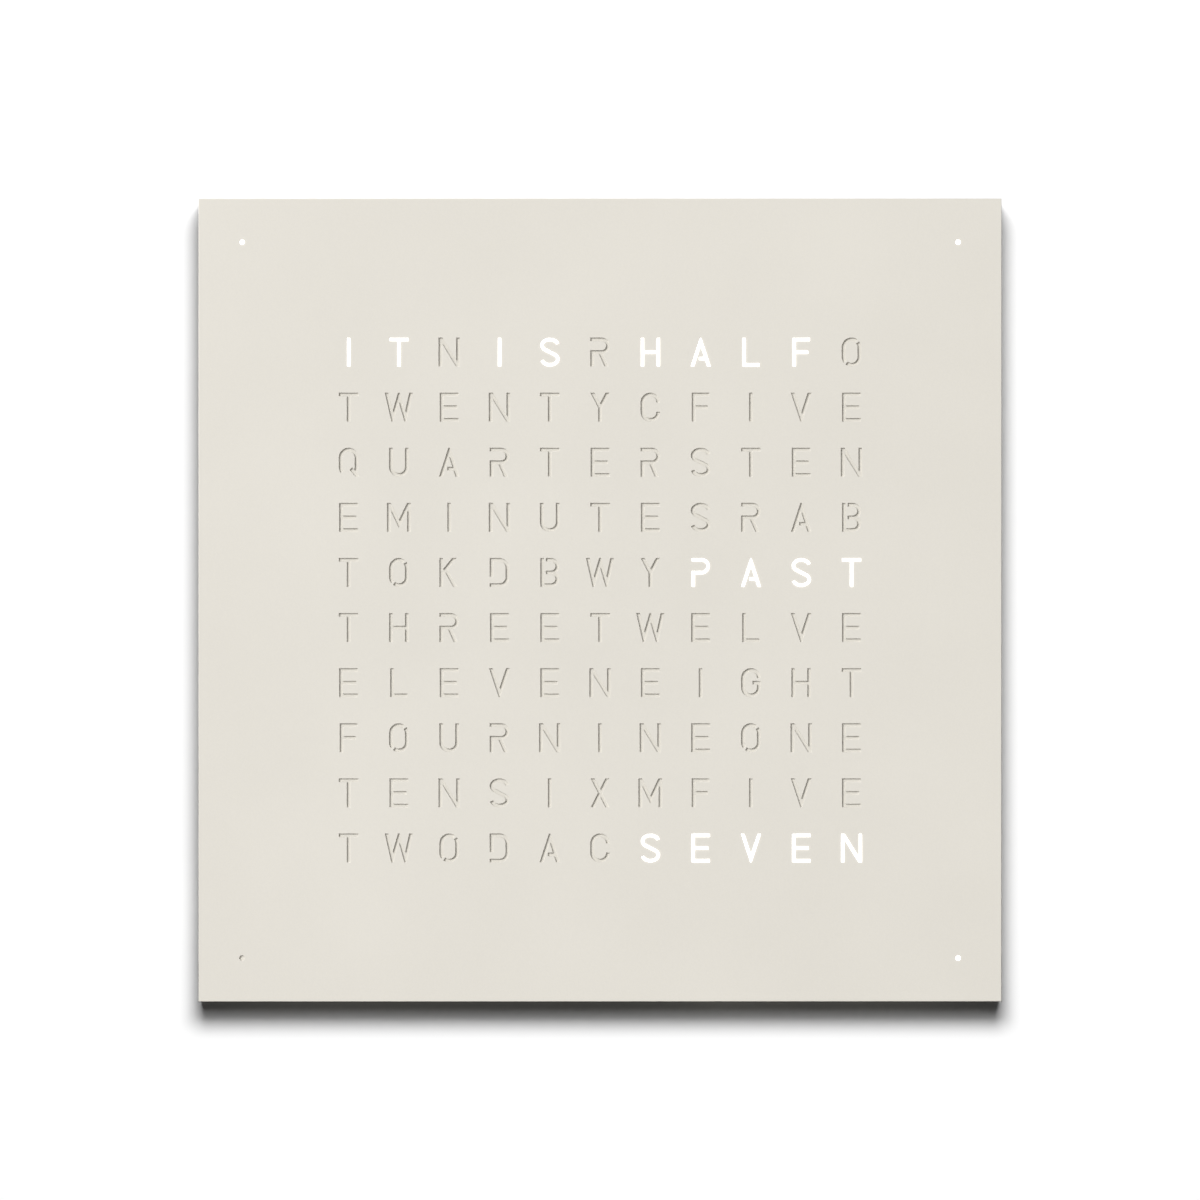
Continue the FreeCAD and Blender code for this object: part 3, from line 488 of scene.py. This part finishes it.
def powder_coat(name, dark, light, roughness):
    """Baked powder coat: even colour over a fine dimpled texture. The real dimples are 0.3 mm across
    and are drawn 0.8 mm across so that they show."""
    finish, tree, place = start_finish(name)
    grain = add_node(tree, "ShaderNodeTexNoise",
                     {"Vector": place, "Scale": 1 / (0.8 * mm), "Detail": 3, "Roughness": 0.6})
    cloud = add_node(tree, "ShaderNodeTexNoise", {"Vector": place, "Scale": 1 / (90 * mm), "Detail": 2})
    both = add_node(tree, "ShaderNodeMath", {0: grain, 1: cloud}, operation="ADD")
    mixed = add_node(tree, "ShaderNodeMapRange", {"Value": both, "From Min": 0.7, "From Max": 1.3})
    tint = add_node(tree, "ShaderNodeMix", {"Factor": mixed, "A": linear(dark), "B": linear(light)},
                    data_type="RGBA")
    dull = add_node(tree, "ShaderNodeMapRange",
                    {"Value": grain, "To Min": roughness - 0.06, "To Max": roughness + 0.06})
    relief = add_node(tree, "ShaderNodeBump", {"Height": grain, "Distance": 0.05 * mm, "Strength": 0.5})
    return end_finish(finish, {"Base Color": tint, "Roughness": dull, "Normal": relief})


dress(powder_coat("black_powder_coat", "29292C", "363639", 0.5), "back_panel")

# ---- screws ----
# Pan-head screws with a cross recess: blackened wood screws round the back panel, and small zinc ones
# that hold the boards.

head_sides = 24
shank_sides = 16


def screw_tree():
    """Geometry nodes that put a screw on each point. The point is the middle of the head's top, and the
    shank runs along the way in."""
    tree = bpy.data.node_groups.new("pan_head_screws", "GeometryNodeTree")
    tree.interface.new_socket("Geometry", in_out="OUTPUT", socket_type="NodeSocketGeometry")
    for name, kind in (("Seats", "Geometry"), ("Crown radius", "Float"), ("Crown height", "Float"),
                       ("Head radius", "Float"), ("Flank height", "Float"), ("Shank radius", "Float"),
                       ("Tip radius", "Float"), ("Length", "Float"), ("Recess size", "Vector"),
                       ("Way in", "Vector"), ("Finish", "Material")):
        tree.interface.new_socket(name, in_out="INPUT", socket_type="NodeSocket" + kind)
    given = add_node(tree, "NodeGroupInput").outputs
    crown = add_node(tree, "GeometryNodeMeshCone",
                     {"Vertices": head_sides, "Radius Bottom": given["Crown radius"],
                      "Radius Top": given["Head radius"], "Depth": given["Crown height"]})
    flank = add_node(tree, "GeometryNodeMeshCone",
                     {"Vertices": head_sides, "Radius Bottom": given["Head radius"],
                      "Radius Top": given["Head radius"], "Depth": given["Flank height"]})
    lower = add_node(tree, "ShaderNodeCombineXYZ", {"Z": given["Crown height"]})
    flank = add_node(tree, "GeometryNodeTransform", {"Geometry": flank, "Translation": lower})
    shank = add_node(tree, "GeometryNodeMeshCone",
                     {"Vertices": shank_sides, "Radius Bottom": given["Shank radius"],
                      "Radius Top": given["Tip radius"], "Depth": given["Length"]})
    screw = add_node(tree, "GeometryNodeMeshBoolean", {"Mesh 2": crown}, operation="UNION",
                     solver="EXACT")
    tree.links.new(flank.outputs[0], screw.inputs["Mesh 2"])
    tree.links.new(shank.outputs["Mesh"], screw.inputs["Mesh 2"])
    bar = add_node(tree, "GeometryNodeMeshCube", {"Size": given["Recess size"]})
    crossing = add_node(tree, "GeometryNodeTransform",
                        {"Geometry": bar, "Rotation": (0, 0, math.radians(90))})
    recessed = add_node(tree, "GeometryNodeMeshBoolean", {"Mesh 1": screw, "Mesh 2": bar},
                        operation="DIFFERENCE", solver="EXACT")
    tree.links.new(crossing.outputs[0], recessed.inputs["Mesh 2"])
    turned = add_node(tree, "FunctionNodeAlignRotationToVector", {"Vector": given["Way in"]}, axis="Z")
    placed = add_node(tree, "GeometryNodeInstanceOnPoints",
                      {"Points": given["Seats"], "Instance": recessed, "Rotation": turned})
    real = add_node(tree, "GeometryNodeRealizeInstances", {"Geometry": placed})
    finished = add_node(tree, "GeometryNodeSetMaterial", {"Geometry": real, "Material": given["Finish"]})
    add_node(tree, "NodeGroupOutput", {"Geometry": finished})
    return tree


pan_head_screws = screw_tree()


def loose_boxes(node):
    """Lowest and highest corner of each separate solid in a node, always in the same order."""
    form = bmesh.new()
    form.from_mesh(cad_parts[node].data)
    bmesh.ops.remove_doubles(form, verts=form.verts, dist=same_corner)
    left = set(form.verts)
    boxes = []
    while left:
        front = [left.pop()]
        found = list(front)
        while front:
            for edge in front.pop().link_edges:
                for vert in edge.verts:
                    if vert in left:
                        left.remove(vert)
                        front.append(vert)
                        found.append(vert)
        boxes.append((Vector(min(v.co[a] for v in found) for a in range(3)),
                      Vector(max(v.co[a] for v in found) for a in range(3))))
    form.free()
    return sorted(boxes, key=lambda box: tuple(box[0]))


def set_of_screws(name, node, way_in, sizes, finish, slot):
    """Screws in place of a node's plain ones, each with its head's top where the plain one's is."""
    side = max(range(3), key=lambda axis: abs(way_in[axis]))
    seats = []
    for low, high in loose_boxes(node):
        seat = (low + high) / 2
        seat[side] = (low if way_in[side] > 0 else high)[side]
        seats.append(seat)
    base = bpy.data.meshes.new(name + "_seats")
    base.from_pydata(seats, [], [])
    carrier = bpy.data.objects.new(name + "_seats", base)
    scene.collection.objects.link(carrier)
    modifier = carrier.modifiers.new("screws", "NODES")
    modifier.node_group = pan_head_screws
    sockets = {item.name: item.identifier for item in pan_head_screws.interface.items_tree}
    for label, value in {**sizes, "Way in": way_in, "Finish": finish}.items():
        modifier[sockets[label]] = value
    made = carrier.evaluated_get(bpy.context.evaluated_depsgraph_get())
    mesh = bpy.data.meshes.new_from_object(made)
    bpy.data.objects.remove(carrier)
    return add_piece(name, mesh, finish, "clock", slot, node)


def blackened_steel():
    """Steel blackened in hot salts: nearly black, satin, a little browner where it is rubbed."""
    finish, tree, place = start_finish("blackened_steel")
    rubbed = add_node(tree, "ShaderNodeTexNoise", {"Vector": place, "Scale": 1 / (1.2 * mm), "Detail": 2})
    tint = add_node(tree, "ShaderNodeMix",
                    {"Factor": rubbed, "A": linear("1B1B1D"), "B": linear("38342F")}, data_type="RGBA")
    return end_finish(finish, {"Metallic": 0.9, "Base Color": tint, "Roughness": 0.38})


screw_head = {"Crown radius": 1.75 * mm, "Crown height": 0.5 * mm, "Head radius": 2.6 * mm,
              "Flank height": 0.6 * mm, "Shank radius": 1.25 * mm,
              "Recess size": (2.9 * mm, 0.6 * mm, 1.4 * mm)}
wood_screw = {**screw_head, "Tip radius": 0.3 * mm, "Length": 11.3 * mm}
machine_screw = {**screw_head, "Tip radius": 1.1 * mm, "Length": 5.9 * mm}
set_of_screws("panel_wood_screws", "back_panel_screws", (0, -1, 0), wood_screw, blackened_steel(),
              "black_screw")
for board, way_in in (("control_board", (0, 1, 0)), ("button_board", (-1, 0, 0))):
    set_of_screws(board + "_machine_screws", board + "_screws", way_in, machine_screw, turned_zinc,
                  "plated_steel")

# ---- wall bumpers ----
# Square pads of soft black rubber with edges moulded round. They are stuck to the back panel and keep
# the clock off the wall.

add_piece("rubber_bumpers", with_soft_edges("wall_bumpers", 0.5 * mm, 3),
          moulded_plastic("soft_rubber", "111111", "191919", 0.8), "clock", "bumper_rubber", "wall_bumpers")

# ---- buttons ----
# Three oblong caps in the left side of the frame, injection-moulded from cream ABS. A flange keeps each
# in its slot, and each presses the switch behind it.

cream_abs = moulded_plastic("cream_abs", "DCD7CB", "E2DED3", 0.42)
for place in ("lower", "middle", "upper"):
    add_piece(place + "_oblong_button", with_soft_edges(place + "_button_cap", 0.15 * mm), cream_abs,
              place + "_button", "button_plastic", place + "_button_cap")

# ---- light pipe ----
# A square rod of clear acrylic, sawn to length, with a polished end flush with the top of the frame. It
# leads the room's light down to the sensor.


def clear_acrylic():
    """Clear cast acrylic: water-clear, with faint saw marks on its sides."""
    finish, tree, place = start_finish("clear_acrylic")
    marks = add_node(tree, "ShaderNodeTexNoise", {"Vector": place, "Scale": 1 / (0.6 * mm)})
    dull = add_node(tree, "ShaderNodeMapRange", {"Value": marks, "To Min": 0.03, "To Max": 0.12})
    return end_finish(finish, {"Base Color": linear("F4F7F7"), "Roughness": dull, "IOR": 1.49,
                               "Transmission Weight": 1.0})


dress(clear_acrylic(), "light_pipe")

# ---- front cover ----
# One square of 1 mm sheet steel with the letters laser cut through it and a cream powder coat. The
# baked film rounds the cut edges. Gaps in the strokes keep the middles of the letters in place.

face_words = ("ITNISRHALFO", "TWENTYCFIVE", "QUARTERSTEN", "EMINUTESRAB", "TOKDBWYPAST", "THREETWELVE",
              "ELEVENEIGHT", "FOURNINEONE", "TENSIXMFIVE", "TWODACSEVEN")
# Sizes of the letters, in millimetres. The cap height is counted from the middle.
cap = 16.1 / 2
stroke = 1.9
bridge = 1.2
stem_opening = 3.9
crossbar_drop = 3.6
letter_width = 10.8
widths_that_differ = {"A": 12.4, "B": 10.4, "E": 10.4, "F": 9.8, "L": 9.6, "M": 13.2, "N": 11.8,
                      "P": 10.2, "V": 12.6, "W": 16.4, "X": 12.0, "Y": 12.4}
dot_diameter = 3.0
# Places of the bridges round O and Q and of the ends of S, in degrees from level.
bridge_angle = 45
snake_end = 12
# Points of a stroke this close are one. A point that turns the outline less than this is left out, and so
# is one this close to a sharper one. The last two are in millimetres and in metres.
same_point = 0.001
smallest_turn = 0.001
closest_points = 0.2
weld_in_letter = 1e-5
weld_in_plate = 1e-9
arc_step = math.radians(10)
edge_round = 0.12 * mm
rim_round = 0.3 * mm
crease = math.radians(50)


def arc(middle, across, up, start, end):
    """Points on an arc of a circle or an ellipse between two angles in degrees."""
    count = max(2, math.ceil(abs(math.radians(end - start)) / arc_step))
    turns = [math.radians(start + (end - start) * step / count) for step in range(count + 1)]
    return [(middle[0] + across * math.cos(turn), middle[1] + up * math.sin(turn)) for turn in turns]


def with_arcs(path, radius):
    """The same path with each corner rounded."""
    points = [Vector(point) for point in path]
    turned = [points[0]]
    for before, corner, after in zip(points, points[1:], points[2:]):
        back, on = (before - corner).normalized(), (after - corner).normalized()
        half = back.angle(on) / 2
        middle = corner + (back + on).normalized() * (radius / math.sin(half))
        first, last = (corner + way * (radius / math.tan(half)) - middle for way in (back, on))
        sweep = first.angle_signed(last)
        count = max(2, math.ceil(abs(sweep) / arc_step))
        for step in range(count + 1):
            turned.append(middle + Matrix.Rotation(-sweep * step / count, 2) @ first)
    return turned + [points[-1]]


def stroke_outline(path):
    """Outline of a stroke of even width, mitred at its corners and square at its ends."""
    points = [Vector(path[0])]
    for point in path[1:]:
        if (Vector(point) - points[-1]).length > same_point:
            points.append(Vector(point))
    runs = [(end - start).normalized() for start, end in zip(points, points[1:])]
    lefts = [Vector((-run.y, run.x)) for run in runs]
    mitres = [(before + after) / (1 + before.dot(after)) for before, after in zip(lefts, lefts[1:])]
    ways = [lefts[0]] + mitres + [lefts[-1]]
    left = [point + way * (stroke / 2) for point, way in zip(points, ways)]
    right = [point - way * (stroke / 2) for point, way in zip(points, ways)]
    return right + left[::-1]


def letter_strokes(letter):
    """Centre lines of a letter's strokes about the middle of its cell, in millimetres."""
    width = widths_that_differ.get(letter, letter_width)
    edge = width / 2
    right = edge - stroke / 2
    left = -right
    top = cap - stroke / 2
    foot = -top
    over = cap + stroke
    tip = cap - stroke
    bowl = top / 2
    short = left + stroke / 2 + bridge
    turn = top - right
    gap = math.degrees(bridge / 2 / right)
    stem = [(left, -cap), (left, cap)]
    far_stem = [(right, -cap), (right, cap)]
    reach = right * (tip + crossbar_drop) / (2 * cap)
    middle_bar = [(left, 0), (edge - stroke / 2, 0)]
    open_bowl = with_arcs([(-edge, top), (right, top), (right, 0), (left, 0)], bowl) + [(left, -cap)]
    over_top = arc((0, turn), right, right, 0, 180)
    under_foot = arc((0, -turn), right, right, 180, 360)
    lower_left = 180 + bridge_angle - gap
    half_ring = arc((0, turn), right, right, bridge_angle + gap, 180) \
        + arc((0, -turn), right, right, 180, lower_left)
    open_ring = arc((0, -turn), right, right, lower_left, 180) + arc((0, turn), right, right, 180, 0) \
        + arc((0, -turn), right, right, 0, -bridge_angle)
    lobe = top * 0.55
    lean = math.degrees(math.asin((top - lobe) / lobe))
    snake = arc((0, lobe), right, top - lobe, snake_end, 180 + lean) \
        + arc((0, -lobe), right, top - lobe, lean, snake_end - 180)
    strokes = {
        "A": [[(left, -over), (0, tip), (right, -over)],
              [(stroke / 2 + bridge - reach, -crossbar_drop), (reach, -crossbar_drop)]],
        "B": [stem, with_arcs([(short, top), (right, top), (right, 0), (short, 0)], bowl),
              with_arcs([(0, 0), (right, 0), (right, foot), (left, foot)], bowl)],
        "C": [over_top + under_foot],
        "D": [[(left, stroke + stem_opening - cap), (left, top)]
              + with_arcs([(left, top), (right, top), (right, foot), (-edge, foot)], right)],
        "E": [[(edge, top), (left, top), (left, foot), (edge, foot)], middle_bar],
        "F": [[(edge, top), (left, top), (left, -cap)], middle_bar],
        "G": [over_top + under_foot + [(right, 0)], [(edge, 0), (stroke / 2, 0)]],
        "H": [stem, far_stem, [(left, 0), (right, 0)]],
        "I": [[(0, -cap), (0, cap)]],
        "K": [stem, [(left, -stroke / 2), (right, over)], [(left / 2, stroke), (right, -over)]],
        "L": [[(left, cap), (left, foot), (edge, foot)]],
        "M": [stem, far_stem, [(left, cap), (0, -2 * stroke), (right, cap)]],
        "N": [stem, far_stem, [(left, cap), (right, -cap)]],
        "O": [half_ring, [(-x, -z) for x, z in half_ring]],
        "P": [open_bowl],
        "Q": [open_ring, [(right * 0.3, foot / 2), (edge, -cap - 0.4)]],
        "R": [open_bowl, [(0, 0), (right, -over)]],
        "S": [snake],
        "T": [[(-edge, top), (edge, top)], [(0, top), (0, -cap)]],
        "U": [[(left, cap)] + under_foot + [(right, cap)]],
        "V": [[(left, over), (0, -tip), (right, over)]],
        "W": [[(left, over), (left / 2, -tip), (0, tip), (right / 2, -tip), (right, over)]],
        "X": [[(left, -over), (right, over)], [(left, over), (right, -over)]],
        "Y": [[(left, over), (0, 0), (right, over)], [(0, 0), (0, -cap)]],
    }
    return strokes[letter], edge


def chained(edges):
    """Closed rings of point numbers from a set of directed edges."""
    following = dict(edges)
    rings = []
    while following:
        ring = [next(iter(following))]
        while ring[-1] in following:
            ring.append(following.pop(ring[-1]))
        rings.append(ring[:-1])
    return rings


def letter_outlines(letter):
    """Outlines of the joined strokes of a letter, trimmed to its height and width."""
    strokes, edge = letter_strokes(letter)
    shapes = [[Vector(corner) for corner in ((-edge, -cap), (edge, -cap), (edge, cap), (-edge, cap))]]
    shapes += [stroke_outline(path) for path in strokes]
    points = [point for shape in shapes for point in shape]
    starts = [sum(len(shape) for shape in shapes[:number]) for number in range(len(shapes))]
    faces = [list(range(start, start + len(shape))) for start, shape in zip(starts, shapes)]
    spots, _, cut, _, _, origins = delaunay_2d_cdt(points, [], faces, 1, weld_in_letter, True)
    kept = [face for face, inside in zip(cut, origins) if 0 in inside and len(inside) > 1]
    edges = {(a, b) for face in kept for a, b in zip(face, face[1:] + face[:1])}
    outlines = []
    for ring in chained({(a, b) for a, b in edges if (b, a) not in edges}):
        outline = [spots[number] for number in ring]
        turns = [(point - before).angle(after - point) for before, point, after
                 in zip(outline[-1:] + outline[:-1], outline, outline[1:] + outline[:1])]
        sharpest = []
        for turn, place in sorted(zip(turns, range(len(outline))), reverse=True):
            if turn > smallest_turn and all((outline[place] - outline[other]).length > closest_points
                                            for other in sharpest):
                sharpest.append(place)
        outlines.append([outline[place] for place in sorted(sharpest)])
    return outlines


def grown(outline, distance):
    """A counter-clockwise outline moved outwards, with its corners mitred."""
    moved = []
    for before, point, after in zip(outline[-1:] + outline[:-1], outline, outline[1:] + outline[:1]):
        first, second = (point - before).normalized(), (after - point).normalized()
        normals = [Vector((run.y, -run.x)) for run in (first, second)]
        moved.append(point + (normals[0] + normals[1]) / (1 + normals[0].dot(normals[1])) * distance)
    return moved


def letter_cut_cover():
    """Plate with rounded edges: one triangulated face, its copy behind, and the walls of every cut."""
    low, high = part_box("front_cover")
    middle = Vector(((low.x + high.x) / 2, (low.z + high.z) / 2))
    half = (high.x - low.x) / 2
    cuts = []
    outlines = {letter: letter_outlines(letter) for letter in sorted(set("".join(face_words)))}
    for row, words in enumerate(face_words, 1):
        for column, letter in enumerate(words, 1):
            centre = Vector(cell_middle(row, column))
            cuts += [[centre + point * mm for point in outline] for outline in outlines[letter]]
    for side in (-1, 1):
        for rise in (-1, 1):
            centre = middle + Vector((side, rise)) * dot_offset
            ring = arc((0, 0), dot_diameter / 2, dot_diameter / 2, 0, 360)[:-1]
            cuts.append([centre + Vector(point) * mm for point in ring])
    square = [middle + Vector(corner) * half for corner in ((-1, -1), (1, -1), (1, 1), (-1, 1))]

    def sections(front, back, radius):
        """Depth of each ring of a rounded wall, and how far the ring lies back from the wall."""
        turns = [math.radians(angle) for angle in (90, 45, 0)]
        near = [(front + radius * (1 - math.sin(turn)), radius * (1 - math.cos(turn))) for turn in turns]
        return near + [(back - (y - front), back_off) for y, back_off in near[::-1]]

    rings = [[(y, grown(cut, back_off)) for y, back_off in sections(low.y, high.y, edge_round)]
             for cut in cuts]
    rings.append([(y, grown(square, -back_off))
                  for y, back_off in sections(low.y, high.y, rim_round)])
    faces, flat, start = [], [], 0
    for wall in rings:
        flat.append(list(range(start, start + len(wall[0][1]))))
        start += len(wall[0][1])
    plane = [point for wall in rings for point in wall[0][1]]
    spots, _, pieces, _, _, origins = delaunay_2d_cdt(plane, [], flat, 1, weld_in_plate, True)
    plate = len(flat) - 1
    sheet = [face for face, inside in zip(pieces, origins) if inside == [plate]]
    count = len(rings[0])
    points = [Vector((p.x, wall[level][0], p.y)) for level in range(count)
              for wall in rings for p in wall[level][1]]
    for face in sheet:
        faces.append(face)
        faces.append([number + (count - 1) * start for number in face[::-1]])
    for ring in flat:
        for level in range(count - 1):
            near, far = level * start, (level + 1) * start
            for a, b in zip(ring, ring[1:] + ring[:1]):
                wall = [a + near, b + near, b + far, a + far]
                faces.append(wall[::-1] if ring is flat[plate] else wall)
    mesh = bpy.data.meshes.new("letter_cut_cover")
    mesh.from_pydata(points, [], faces)
    mesh.validate()
    form = bmesh.new()
    form.from_mesh(mesh)
    bmesh.ops.recalc_face_normals(form, faces=form.faces)
    for face in form.faces:
        face.smooth = len(face.verts) == 4
    for edge in form.edges:
        edge.smooth = edge.calc_face_angle(0) < crease
    form.to_mesh(mesh)
    form.free()
    return mesh


cream_powder_coat = powder_coat("cream_powder_coat", "CECAC1", "D2CEC5", 0.5)
add_piece("letter_cut_cover", letter_cut_cover(), cream_powder_coat, "cover", "cover_paint", "front_cover")
dress(cream_powder_coat, "cover_tabs")

# ---- studio ----
# A wall of matt white paint, just behind the bracket's back, that the clock hangs on. It is in two halves
# so that each can have its own light. A pale floor lies far below, and soft light comes from the front.


def plain_stage(name, corners, finish):
    """Flat four-cornered surface of the stage."""
    mesh = bpy.data.meshes.new(name)
    mesh.from_pydata([Vector(corner) for corner in corners], [], [(0, 1, 2, 3)])
    mesh.materials.append(finish)
    stage = bpy.data.objects.new(name, mesh)
    scene.collection.objects.link(stage)
    return stage


def flat_paint(name, code):
    """Matt paint with a fine roller texture, seen only from its painted side."""
    finish, tree, place = start_finish(name)
    roller = add_node(tree, "ShaderNodeTexNoise", {"Vector": place, "Scale": 1 / (2 * mm)})
    relief = add_node(tree, "ShaderNodeBump", {"Height": roller, "Distance": 0.01 * mm, "Strength": 0.1})
    paint = add_node(tree, "ShaderNodeBsdfPrincipled",
                     {"Base Color": linear(code), "Roughness": 1.0, "Specular IOR Level": 0.0,
                      "Normal": relief})
    behind = add_node(tree, "ShaderNodeNewGeometry").outputs["Backfacing"]
    unseen = add_node(tree, "ShaderNodeBsdfTransparent")
    one_sided = add_node(tree, "ShaderNodeMixShader", {0: behind, 1: paint, 2: unseen})
    add_node(tree, "ShaderNodeOutputMaterial", {"Surface": one_sided})
    return finish


wall_face = 0.2 * mm
wall_half = 5
wall_top = 3
floor_half = 30
floor_drop = 1.0
floor_height = cad_box[0].z - floor_drop
wall_paint = flat_paint("wall_paint", "FAFAFA")
left_wall, right_wall = (
    plain_stage(name, ((left, wall_face, floor_height), (left + wall_half, wall_face, floor_height),
                       (left + wall_half, wall_face, wall_top), (left, wall_face, wall_top)), wall_paint)
    for name, left in (("left_wall", -wall_half), ("right_wall", 0)))
floor = plain_stage("floor", [(x * floor_half, y * floor_half, floor_height)
                              for x, y in ((-1, -1), (1, -1), (1, 1), (-1, 1))],
                    flat_paint("floor_paint", "F2F1EF"))
for backdrop in (left_wall, right_wall, floor):
    backdrop.visible_diffuse = False
    backdrop.visible_shadow = False

# The room is white to the eye and adds hardly any light of its own.
white = (1, 1, 1, 1)
scene.world = bpy.data.worlds.new("studio")
scene.world.use_nodes = True
room = scene.world.node_tree
room.nodes.clear()
dim = add_node(room, "ShaderNodeBackground", {"Color": white, "Strength": 0.03})
bright = add_node(room, "ShaderNodeBackground", {"Color": white, "Strength": 1.0})
seen = add_node(room, "ShaderNodeLightPath").outputs["Is Camera Ray"]
sky = add_node(room, "ShaderNodeMixShader", {0: seen, 1: dim, 2: bright})
add_node(room, "ShaderNodeOutputWorld", {"Surface": sky})


def softbox(name, size, place, power):
    """Large soft oval panel, of a size in metres and a power in watts, that isn't seen itself."""
    light = bpy.data.lights.new(name, "AREA")
    light.shape = "ELLIPSE"
    light.size, light.size_y = size
    light.energy = power
    lamp = bpy.data.objects.new(name, light)
    scene.collection.objects.link(lamp)
    lamp.location = place
    lamp.visible_camera = False
    return lamp


# The keys hang far off so that their light is even, and face straight back. Each half of the wall has
# two, a little to the other side, so that the shadow is deep below the clock and beside it and fades
# evenly. The clock's own comes more from the left, so that the left edges of the letters are shaded more
# than the top ones. The floor's shines straight down.
clock_key = softbox("clock_key", (21, 21), (-20.4, -32, 15.2), 30960)
floor_key = bpy.data.objects.new("floor_key", bpy.data.lights.new("floor_key", "SUN"))
scene.collection.objects.link(floor_key)
floor_key.data.energy = 3.4
linked_keys = [(floor_key, [floor], "INCLUDE"), (clock_key, [left_wall, right_wall, floor], "EXCLUDE")]
for wall, side in ((left_wall, 1), (right_wall, -1)):
    for name, size, x, z, power in (("_high_key", (14, 10.8), 3, 12, 4660),
                                    ("_low_key", (9, 13.2), 1.8, 9.1, 1785)):
        linked_keys.append((softbox(wall.name + name, size, (side * x, -16, z), power), [wall], "INCLUDE"))
for key, pieces, state in linked_keys:
    if key.data.type == "AREA":
        key.rotation_euler = (math.radians(90), 0, 0)
    key.light_linking.receiver_collection = bpy.data.collections.new(key.name + "_receivers")
    for piece in pieces:
        key.light_linking.receiver_collection.objects.link(piece)
    for link in key.light_linking.receiver_collection.collection_objects:
        link.light_linking.link_state = state
# These stand behind the plane of the wall. They light the sides and the back of the clock, leave the
# front of the wall alone, and face the clock's middle.
for name, place, power in (("back_softbox", (-1.5, 4, 2), 170), ("left_softbox", (-4, 0.8, 0.4), 25),
                           ("right_softbox", (4, 0.8, 0.4), 60), ("top_softbox", (0, 0.8, 4), 20)):
    box = softbox(name, (2, 2), place, power)
    box.rotation_euler = (box.location - face_middle).to_track_quat("Z", "Y").to_euler()

camera = bpy.data.objects.new("camera", bpy.data.cameras.new("camera"))
scene.collection.objects.link(camera)
scene.camera = camera
cover_low, cover_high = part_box("front_cover")
# The cover fills 803 of the 1200 pixels across the view.
view_pixels, cover_pixels = 1200, 803
view_width = (cover_high.x - cover_low.x) * view_pixels / cover_pixels
camera_distance = 6.0
sensor_width = 36
camera.data.sensor_width = sensor_width
camera.data.lens = sensor_width * camera_distance / view_width
camera.data.clip_end = 100
camera.location = ((cover_low.x + cover_high.x) / 2, cover_low.y - camera_distance,
                   (cover_low.z + cover_high.z) / 2)
camera.rotation_euler = (math.radians(90), 0, 0)
scene.view_settings.view_transform = "Standard"

# Light past white blooms a little, as the lit letters do in a lens.
bloom_pixels = 4
bloom_share = 0.3
scene.use_nodes = True
bloom = scene.node_tree
bloom.nodes.clear()
taken = add_node(bloom, "CompositorNodeRLayers").outputs["Image"]
past_white = add_node(bloom, "CompositorNodeMixRGB", {1: taken, 2: white}, blend_type="SUBTRACT")
lamps = add_node(bloom, "CompositorNodeMixRGB", {1: past_white, 2: (0, 0, 0, 1)}, blend_type="LIGHTEN")
spread = add_node(bloom, "CompositorNodeBlur", {"Image": lamps}, filter_type="GAUSS",
                  size_x=bloom_pixels, size_y=bloom_pixels)
together = add_node(bloom, "CompositorNodeMixRGB", {0: bloom_share, 1: taken, 2: spread},
                    blend_type="ADD")
add_node(bloom, "CompositorNodeComposite", {"Image": together})
